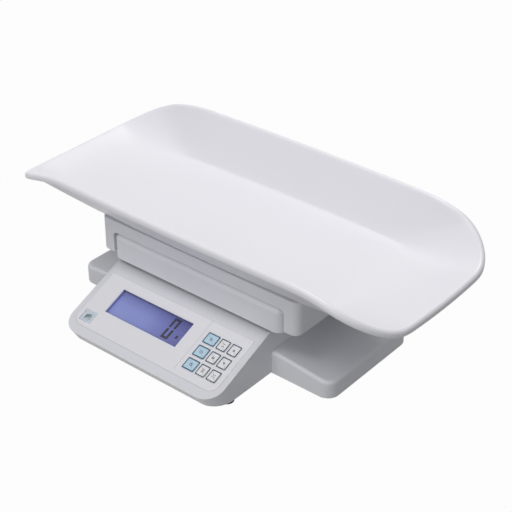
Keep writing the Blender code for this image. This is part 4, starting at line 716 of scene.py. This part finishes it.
def make_base():
    """Slab with a sloping wing at each side, open in the middle for the console's block."""
    tops = [(x, BASE_FACE, wing_height(x)) for x in (BASE_X, CONSOLE_HALF, -CONSOLE_HALF, -BASE_X)]
    profile = [(-BASE_X, BASE_FACE, FOOT_HEIGHT), (BASE_X, BASE_FACE, FOOT_HEIGHT)] + tops
    shape = pulled(profile, (0, BASE_BACK - BASE_FACE, 0))
    bevel_edges(shape, upright_edges(shape, lambda co: abs(co.x) > BASE_X - TOUCH), BASE_CORNER, 14)
    bevel_edges(shape, upper_edges(shape), BASE_EDGE, 6)
    drop_faces(shape, lambda face: face.normal.z < -0.9)
    left, right = CONSOLE_MIDDLE - CONSOLE_HALF - GAP, CONSOLE_MIDDLE + CONSOLE_HALF + GAP
    for where, normal in (((left, 0, 0), (1, 0, 0)), ((right, 0, 0), (1, 0, 0)),
                          ((0, BLOCK_BACK + GAP, 0), (0, 1, 0))):
        geometry = shape.verts[:] + shape.edges[:] + shape.faces[:]
        bmesh.ops.bisect_plane(shape, geom=geometry, plane_co=where, plane_no=normal)
    drop_faces(shape, lambda face: left < face.calc_center_median().x < right
               and face.calc_center_median().y < BLOCK_BACK + GAP)
    walled(piece("base_shell", shape, "base", grey_plastic, ("base_cover",)), WALL)


def grown(box, margin):
    """Box on the panel, larger by a margin on each side."""
    left, front, right, back = box
    return left - margin, front - margin, right + margin, back + margin


def panel_ring(box, corners=SQUARE, height=0.0, grow=0.0):
    """Places round a box on the panel, at a height above it."""
    outline = round_outline(*grown(box, grow), [radius + grow for radius in corners])
    return [PANEL @ Vector((x, y, height)) for x, y in outline]


def make_console():
    """Housing with a shallow recess for the overlay, and openings for display, level, post and power inlet."""
    crease = FRONT + (BLOCK_TOP - PANEL_FOOT) / math.tan(PANEL_SLOPE)
    step = BASE_FACE - GAP
    left, right = CONSOLE_MIDDLE - CONSOLE_HALF, CONSOLE_MIDDLE + CONSOLE_HALF
    nose = FRONT - CONSOLE_NOSE
    side = ((FRONT - CONSOLE_TOE, FOOT_HEIGHT), (nose, PANEL_FOOT - CONSOLE_NOSE * math.tan(PANEL_SLOPE)),
            (crease, BLOCK_TOP), (BLOCK_BACK, BLOCK_TOP),
            (BLOCK_BACK, BLOCK_BOTTOM), (step, BLOCK_BOTTOM), (step, FOOT_HEIGHT))
    shape = pulled([(left, y, z) for y, z in side], (right - left, 0, 0))
    leaning = [edge for edge in shape.edges if all(vert.co.y < FRONT for vert in edge.verts)
               and abs(edge.verts[0].co.x - edge.verts[1].co.x) < TOUCH]
    bevel_edges(shape, leaning, CONSOLE_CORNER, 14)
    bevel_edges(shape, upright_edges(shape, lambda co: co.y > BLOCK_BACK - TOUCH), BACK_CORNER, 8)
    bevel_edges(shape, upper_edges(shape), CONSOLE_EDGE, 6)
    drop_faces(shape, lambda face: face.normal.z < -0.9 or abs(face.calc_center_median().y - step) < TOUCH)

    box = (-OVERLAY_HALF, OVERLAY_FRONT, OVERLAY_HALF, OVERLAY_BACK)
    lip = open_flat(shape, PANEL.translation, OUTWARD, [panel_ring(box, OVERLAY_CORNERS, 0.0, GAP)])[0]
    bed = extruded(shape, lip, -PANEL_RECESS * OUTWARD)
    for opening in (WINDOW, LEVEL_WINDOW):
        bed += loop_of(shape, panel_ring(opening, height=-PANEL_RECESS))
    bmesh.ops.triangle_fill(shape, edges=bed, use_beauty=True)

    post = round_outline(*POST_SLOT, (POST_CORNER,) * 4, 4)
    open_flat(shape, Vector((0, 0, BLOCK_TOP)), Vector((0, 0, 1)), [[(x, y, BLOCK_TOP) for x, y in post]])
    low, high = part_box("power_inlet")
    inlet = circle((low[0] + high[0]) / 2, (low[2] + high[2]) / 2, INLET_HOLE)
    open_flat(shape, Vector((0, BLOCK_BACK, 0)), Vector((0, 1, 0)), [[(x, BLOCK_BACK, z) for x, z in inlet]])
    housing = piece("console_shell", shape, "base", console_plastic_with_painted_light, ("console_housing",))
    walled(housing, CONSOLE_SKIN)


def key_boxes():
    """Left, front, right and back of each key, row by row from the front."""
    return [(left, front, right, back) for front, back in KEY_FRONTS for left, right in KEY_LEFTS]


def make_overlay():
    """Sheet on the panel with openings for keys and windows, and the fine line printed beside the keys."""
    outline = round_outline(-OVERLAY_HALF, OVERLAY_FRONT, OVERLAY_HALF, OVERLAY_BACK, OVERLAY_CORNERS, 12)
    holes = [round_outline(*grown(box, GAP)) for box in (WINDOW, LEVEL_WINDOW)]
    holes += [round_outline(*grown(box, GAP), (KEY_CORNER + GAP,) * 4, 4) for box in key_boxes()]
    sheet = prism(outline, OVERLAY_UNDER, OVERLAY_TOP, holes)
    piece("panel_overlay", on_panel(sheet), "base", panel_sheet, ("face_overlay",))
    line = brick((DIVIDER_X - DIVIDER_WIDTH / 2, OVERLAY_FRONT + DIVIDER_START, OVERLAY_TOP),
                 (DIVIDER_X + DIVIDER_WIDTH / 2, OVERLAY_BACK, OVERLAY_TOP + PRINT_RISE))
    piece("key_field_line", on_panel(line), "base", printed_line)


def key_mark_outlines(number, x, y):
    """Plain sign in the middle of a key, as outlines, each with the outline of its hole if it has one."""
    bar, long = SIGN_BAR / 2, SIGN_LENGTH / 2
    rows = [round_outline(x - long, y + shift - bar, x + long, y + shift + bar)
            for shift in (-ROW_SHIFT, 0, ROW_SHIFT)]
    columns = [round_outline(x + shift - bar, y - long, x + shift + bar, y + long)
               for shift in (-COLUMN_SHIFT, COLUMN_SHIFT)]
    up = [Vector((x - ARROW_HALF, y - ARROW_FOOT)), Vector((x + ARROW_HALF, y - ARROW_FOOT)),
          Vector((x, y + ARROW_TIP))]
    down = [Vector((2 * x - point.x, 2 * y - point.y)) for point in up]
    ring = (circle(x, y, SIGN_OUTER), circle(x, y, SIGN_INNER))
    tick = round_outline(x - bar, y + TICK_FOOT, x + bar, y + TICK_TIP)
    dots = [circle(x + across, y + along, DOT_RADIUS, 12)
            for across in (-DOT_SHIFT, DOT_SHIFT) for along in (-DOT_SHIFT, DOT_SHIFT)]
    signs = {1: [ring, (tick,)], 2: [(row,) for row in rows], 3: [(dot,) for dot in dots],
             4: [ring], 5: [(columns[0],), (columns[1],), (rows[1],)], 6: [(down,)],
             7: [(column,) for column in columns], 8: [(rows[0],), (rows[2],)], 9: [(up,)]}
    return signs[number]


def make_keys():
    """Key caps with a soft edge, a dark outline, a pale blue or white field, and a plain sign."""
    for number, (left, front, right, back) in enumerate(key_boxes()):
        shape = bmesh.new()
        edges = ring_of(shape, round_outline(left, front, right, back, (KEY_CORNER,) * 4, 5), KEY_TOP)
        capped(shape, edges)
        capped(shape, extruded(shape, edges, (0, 0, -KEY_THICKNESS)))
        bmesh.ops.recalc_face_normals(shape, faces=shape.faces)
        bevel_edges(shape, edges, KEY_EDGE, 3)
        shape.normal_update()
        top = max(shape.faces, key=lambda item: item.normal.z * item.calc_area())
        rim = bmesh.ops.inset_region(shape, faces=[top], thickness=KEY_LINE, use_even_offset=True)
        for item in rim["faces"]:
            item.material_index = 1
        field, slot = (key_blue, "key_blue") if number % 3 == 0 else (key_white, "key_white")
        name = "key_%d" % (number + 1)
        piece("cap_of_" + name, on_panel(shape), name + "_button", [field, key_line], (name,), smooth=30)
        marks = [prism(outlines[0], KEY_TOP, KEY_TOP + PRINT_RISE, outlines[1:])
                 for outlines in key_mark_outlines(number + 1, (left + right) / 2, (front + back) / 2)]
        piece("sign_on_" + name, on_panel(joined(*marks)), name + "_button", key_mark)


def make_windows():
    """Clear panes over the display and the level, and the violet wall round the display glass, with a painted
    shadow along its upper side.
    """
    for name, box, material, node_name in (
            ("display_pane", WINDOW, window_clear, "display_window"),
            ("level_pane", LEVEL_WINDOW, level_clear, "level_window")):
        sheet = prism(round_outline(*box), OVERLAY_UNDER, OVERLAY_TOP)
        piece(name, on_panel(sheet), "base", material, (node_name,))
    inner = round_outline(*grown(WINDOW, -SEAL_WIDTH))
    seal = prism(round_outline(*WINDOW), GLASS_TOP, OVERLAY_UNDER - TOUCH, [inner])
    piece("display_seal", on_panel(seal), "base", seal_with_painted_shadow)


def make_digit():
    """Dark slanted zero and the small square beside it, as on the display at no load."""
    foot, width, height = Vector(DIGIT_FOOT), DIGIT_WIDTH, DIGIT_HEIGHT
    stroke, notch = DIGIT_STROKE, SEGMENT_NOTCH
    middle = height / 2 + SEGMENT_CLEAR
    top = [(notch, height), (width - notch, height),
           (width - stroke, height - stroke), (stroke, height - stroke)]
    side = [(0, height - notch), (stroke - notch / 2, height - stroke - notch / 2),
            (stroke, middle + stroke / 2), (stroke / 2, middle), (0, middle + stroke / 2)]
    parts = []
    for outline, flips in ((top, (False,)), (side, (False, True))):
        for flip_x in flips:
            for flip_y in (False, True):
                flipped = [(width - u if flip_x else u, height - v if flip_y else v) for u, v in outline]
                places = [foot + Vector((u + DIGIT_SLANT * v, v)) for u, v in flipped]
                parts.append(prism(places, GLASS_TOP, GLASS_TOP + PRINT_RISE))
    (x, y), (across, along) = POINT_MIDDLE, POINT_HALF
    mark = round_outline(x - across, y - along, x + across, y + along, (POINT_CORNER,) * 4, 3)
    parts.append(prism(mark, GLASS_TOP, GLASS_TOP + PRINT_RISE))
    piece("lit_zero", on_panel(joined(*parts)), "base", segment_ink)


def middle_of(name):
    """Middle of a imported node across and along, its underside and its top."""
    low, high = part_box(name)
    return (low[0] + high[0]) / 2, (low[1] + high[1]) / 2, low[2], high[2]


def make_level():
    """Bubble level: vial, ring, bubble, a collar up to the sloping sheet, and the mask with its hole."""
    low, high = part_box("level_vial")
    x, y, bottom, top = (low[0] + high[0]) / 2, (low[1] + high[1]) / 2, low[2], VIAL_TOP
    body = turned([(0, bottom), (VIAL_RADIUS, bottom), (VIAL_RADIUS, top - VIAL_SHOULDER),
                   (VIAL_RADIUS - VIAL_CHAMFER, top - VIAL_CHAMFER), (VIAL_RADIUS - VIAL_SHOULDER, top),
                   (0, top)], x, y)
    piece("vial_body", body, "base", vial_white, ("level_vial",))
    ring = prism(circle(x, y, RING_OUTER, ROUND_SIDES), top, top + RING_RISE,
                 [circle(x, y, RING_INNER, ROUND_SIDES)])
    piece("vial_ring", ring, "base", vial_white)
    dome = [(0, top)]
    for angle in range(0, 90, 15):
        turn = math.radians(angle)
        dome.append((BUBBLE_RADIUS * math.cos(turn), top + BUBBLE_RISE * math.sin(turn)))
    dome.append((0, top + BUBBLE_RISE))
    piece("vial_bubble", turned(dome, x, y), "base", bubble)

    collar = prism(circle(x, y, COLLAR_OUTER, ROUND_SIDES), top, top + COLLAR_REACH,
                   [circle(x, y, COLLAR_INNER, ROUND_SIDES)])
    bmesh.ops.bisect_plane(collar, geom=collar.verts[:] + collar.edges[:] + collar.faces[:],
                           plane_co=PANEL @ Vector((0, 0, MASK_UNDER - TOUCH)), plane_no=OUTWARD,
                           clear_outer=True)
    rims = [edge for edge in collar.edges if edge.is_boundary]
    bmesh.ops.triangle_fill(collar, edges=rims, use_beauty=True)
    piece("vial_collar", collar, "base", vial_white)

    left, front, right, back = LEVEL_WINDOW
    hole = circle((left + right) / 2 + MASK_SHIFT[0], (front + back) / 2 + MASK_SHIFT[1],
                  MASK_HOLE, ROUND_SIDES)
    mask = prism(round_outline(*LEVEL_WINDOW), MASK_UNDER, OVERLAY_UNDER - TOUCH, [hole])
    piece("level_mask", on_panel(mask), "base", level_tint)


def make_feet():
    """Levelling feet: a rubber pad, and the finger wheel with its stud that turns in it."""
    for place in ("front_left", "front_right", "rear_left", "rear_right"):
        x, y, bottom, top = middle_of("foot_pad_" + place)
        profile = [(0, bottom), (PAD_RADIUS - PAD_EDGE, bottom), (PAD_RADIUS, bottom + PAD_EDGE),
                   (PAD_RADIUS, top - PAD_TOP_EDGE), (PAD_RADIUS - PAD_TOP_EDGE, top),
                   (PIN_RADIUS + GAP, top), (PIN_RADIUS + GAP, top - PAD_SOCKET), (0, top - PAD_SOCKET)]
        piece("pad_" + place, turned(profile, x, y), "foot_" + place, rubber, ("foot_pad_" + place,))
        x, y, bottom, crown = middle_of("foot_stud_" + place)
        wheel, seat = top + GAP, FOOT_HEIGHT - GAP
        inner = WHEEL_RADIUS - WHEEL_EDGE
        profile = [(0, bottom), (PIN_RADIUS, bottom), (PIN_RADIUS, wheel), (inner, wheel),
                   (WHEEL_RADIUS, wheel + WHEEL_EDGE), (WHEEL_RADIUS, seat - WHEEL_EDGE), (inner, seat),
                   (STUD_RADIUS, seat), (STUD_RADIUS, crown - STUD_EDGE), (STUD_RADIUS - STUD_EDGE, crown),
                   (0, crown)]
        sides = 4 * WHEEL_NOTCHES
        shape = turned(profile, 0, 0, sides)
        for vert in shape.verts:
            turn = round(math.atan2(vert.co.y, vert.co.x) * sides / math.tau)
            if vert.co.xy.length > WHEEL_RADIUS - NOTCH_BAND and turn % 4 == 0:
                vert.co.xy *= NOTCH_SHARE
        bmesh.ops.translate(shape, vec=(x, y, 0), verts=shape.verts)
        piece("wheel_" + place, shape, "stud_" + place, dark_plastic, ("foot_stud_" + place,))


def cross_outline(x, y, reach, half):
    """Outline of a cross recess, arm by arm."""
    points = []
    for quarter in range(4):
        turn = Matrix.Rotation(math.radians(90 * quarter), 2)
        points += [Vector((x, y)) + turn @ Vector(corner)
                   for corner in ((half, half), (half, reach), (-half, reach))]
    return points


def make_screws():
    """Cross-head screws under base and console, and the load cell's socket screws at the base."""
    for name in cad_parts:
        cross = name.startswith(("base_screw", "console_screw"))
        if not cross and not name.startswith("cell_base_screw"):
            continue
        x, y, bottom, top = middle_of(name)
        if cross:
            radius, shank, head, arm, half_slot = 0.0030, 0.0015, 0.0018, 0.0013, 0.0003
            recess = cross_outline(x, y, arm, half_slot)
        else:
            radius, shank, head, socket = 0.0050, 0.0030, 0.0040, 0.0025
            recess = circle(x, y, socket, 6)
        cap = prism(circle(x, y, radius, 32), bottom, bottom + head, [recess])
        rim = [edge for edge in cap.edges if all(
            abs((vert.co.xy - Vector((x, y))).length - radius) < TOUCH and vert.co.z < bottom + TOUCH
            for vert in edge.verts)]
        bmesh.ops.bevel(cap, geom=rim, offset=head / 5, segments=3, profile=0.5, affect="EDGES", material=-1)
        root = bottom + head / 2
        body = turned([(0, root), (shank, root), (shank, top - shank), (0, top)], x, y, 24)
        piece("fine_" + name, joined(cap, body), "base", steel, (name,))


def make_inlet():
    """Power inlet in the back wall, with its flange and centre pin."""
    low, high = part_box("power_inlet")
    x, z, root, face = (low[0] + high[0]) / 2, (low[2] + high[2]) / 2, low[1], high[1]
    flange, radius, bore, pin = (high[2] - low[2]) / 2, 0.0048, 0.0028, 0.0009
    edge, mouth, wall = 0.0004, 0.0003, BLOCK_BACK + GAP
    profile = [(0, root), (radius, root), (radius, wall), (flange, wall), (flange, face - edge),
               (flange - edge, face), (bore + mouth, face), (bore, face - mouth), (bore, root + WALL),
               (pin, root + WALL), (pin, BLOCK_BACK - edge), (pin - edge, BLOCK_BACK), (0, BLOCK_BACK)]
    shape = turned(profile, 0, 0)
    lying = Matrix.Rotation(math.radians(-90), 3, "X")
    bmesh.ops.rotate(shape, cent=(0, 0, 0), matrix=lying, verts=shape.verts)
    bmesh.ops.translate(shape, vec=(x, 0, z), verts=shape.verts)
    piece("inlet_socket", shape, "base", dark_plastic, ("power_inlet",))


def seen_rays(tree):
    """One for the rays that show the backdrop: from the camera, through clear sheets and off glossy faces."""
    rays = node(tree, "LightPath")
    last, outlet = rays, "Is Camera Ray"
    for name in ("Is Transmission Ray", "Is Glossy Ray"):
        either = node(tree, "Math", operation="MAXIMUM")
        wired(tree, (last, outlet, either, 0), (rays, name, either, 1))
        last, outlet = either, "Value"
    return last


def finish_pieces():
    """Settle walls and soft edges into the meshes, so that sharp edges stay sharp and flat faces look flat."""
    graph = bpy.context.evaluated_depsgraph_get()
    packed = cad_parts.values()
    pieces = [item for item in bpy.context.scene.objects if item.type == "MESH" and item not in packed]
    for item in pieces:
        if item.modifiers:
            mesh = bpy.data.meshes.new_from_object(item.evaluated_get(graph))
            item.modifiers.clear()
            item.data = mesh
            mesh.set_sharp_from_angle(angle=math.radians(SHARP_ANGLE))
        step = item.modifiers.new("flat_faces", "WEIGHTED_NORMAL")
        step.keep_sharp = True


def make_stage():
    """Pale floor with a soft shadow, and a white world."""
    floor = bmesh.new()
    bmesh.ops.create_grid(floor, x_segments=1, y_segments=1, size=6.0)
    mesh = mesh_of("floor", floor)
    item = placed("floor", mesh)
    material, shader, tree = shader_of("floor_paint", srgb(FLOOR_TONE, FLOOR_TONE, FLOOR_TONE), 0.9,
                                       Specular_IOR_Level=0.1)
    glow = node(tree, "Emission", Color=(1, 1, 1, 1), Strength=1.0)
    share = node(tree, "Math", operation="MULTIPLY")
    share.inputs[1].default_value = FLOOR_WHITE_SHARE
    mix = node(tree, "MixShader")
    output = tree.nodes["Material Output"]
    wired(tree, (seen_rays(tree), "Value", share, 0), (share, "Value", mix, "Fac"),
          (shader, "BSDF", mix, 1), (glow, "Emission", mix, 2), (mix, "Shader", output, "Surface"))
    mesh.materials.append(material)

    world = bpy.data.worlds.new("studio")
    bpy.context.scene.world = world
    world.use_nodes = True
    tree = world.node_tree
    tree.nodes.clear()
    output = node(tree, "OutputWorld")
    fill = node(tree, "Background", Color=(0.95, 0.97, 1.0, 1), Strength=WORLD_FILL)
    white = node(tree, "Background", Color=(1, 1, 1, 1), Strength=1.0)
    mix = node(tree, "MixShader")
    wired(tree, (seen_rays(tree), "Value", mix, "Fac"), (fill, "Background", mix, 1),
          (white, "Background", mix, 2), (mix, "Shader", output, "Surface"))


def lamp(name, place, size, power):
    """Round soft lamp that points at the object's middle."""
    light = bpy.data.lights.new(name, "AREA")
    light.shape = "DISK"
    light.size = size
    light.energy = power
    item = placed(name, light)
    item.location = place
    item.rotation_euler = (Vector((0, 0, 0.1)) - Vector(place)).to_track_quat("-Z", "Y").to_euler()


def make_camera():
    """Camera with the photograph's viewing angle and lens."""
    azimuth, elevation, roll = math.radians(39.35), math.radians(32.30), math.radians(0.295)
    target, distance = Vector((-0.0126, 0.0669, 0.06)), 1.7437
    back = Vector((math.sin(azimuth) * math.cos(elevation), -math.cos(azimuth) * math.cos(elevation),
                   math.sin(elevation)))
    right = Vector((math.cos(azimuth), math.sin(azimuth), 0))
    up = back.cross(right)
    right, up = (right * math.cos(roll) + up * math.sin(roll), up * math.cos(roll) - right * math.sin(roll))
    camera = bpy.data.cameras.new("camera")
    camera.sensor_width = SENSOR
    camera.lens = SENSOR * LENS_PIXELS / PICTURE_SIDE
    camera.clip_start = 0.05
    item = placed("camera", camera)
    turn = Matrix((right, up, back)).transposed().to_4x4()
    item.matrix_world = Matrix.Translation(target + back * distance) @ turn
    bpy.context.scene.camera = item


def dress_frame():
    """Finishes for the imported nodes, of which those without a finer piece are seen."""
    shown = ((under_plastic, "base_plate console_floor battery_cover"), (milky, "backlight switch_sheet"),
             (dark_plastic, "display_frame buzzer load_cell_cable display_cable"),
             (board_green, "display_board main_board"), (aluminium, "load_cell platform_bracket"),
             (display_lilac_painted_shade, "display_glass"))
    looks = {name: look for look, names in shown for name in names.split()}
    for name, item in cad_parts.items():
        look = looks.get(name)
        if look is None:
            if name.startswith("battery_contact") or "screw" in name or "stop" in name:
                look = steel
            elif name.startswith("battery_"):
                look = wrap
            else:
                look = grey_plastic
        item.data.materials.clear()
        item.data.materials.append(look)


def main():
    """Everything in its order, the stage last."""
    bpy.context.scene.view_settings.view_transform = "Standard"
    for make in (dress_frame, make_tray, make_tray_mount, make_platform, make_base, make_console, make_overlay,
                 make_windows, make_digit, make_keys, make_level, make_feet, make_screws, make_inlet,
                 finish_pieces, make_stage):
        make()
    for settings in LAMPS:
        lamp(*settings)
    make_camera()


main()
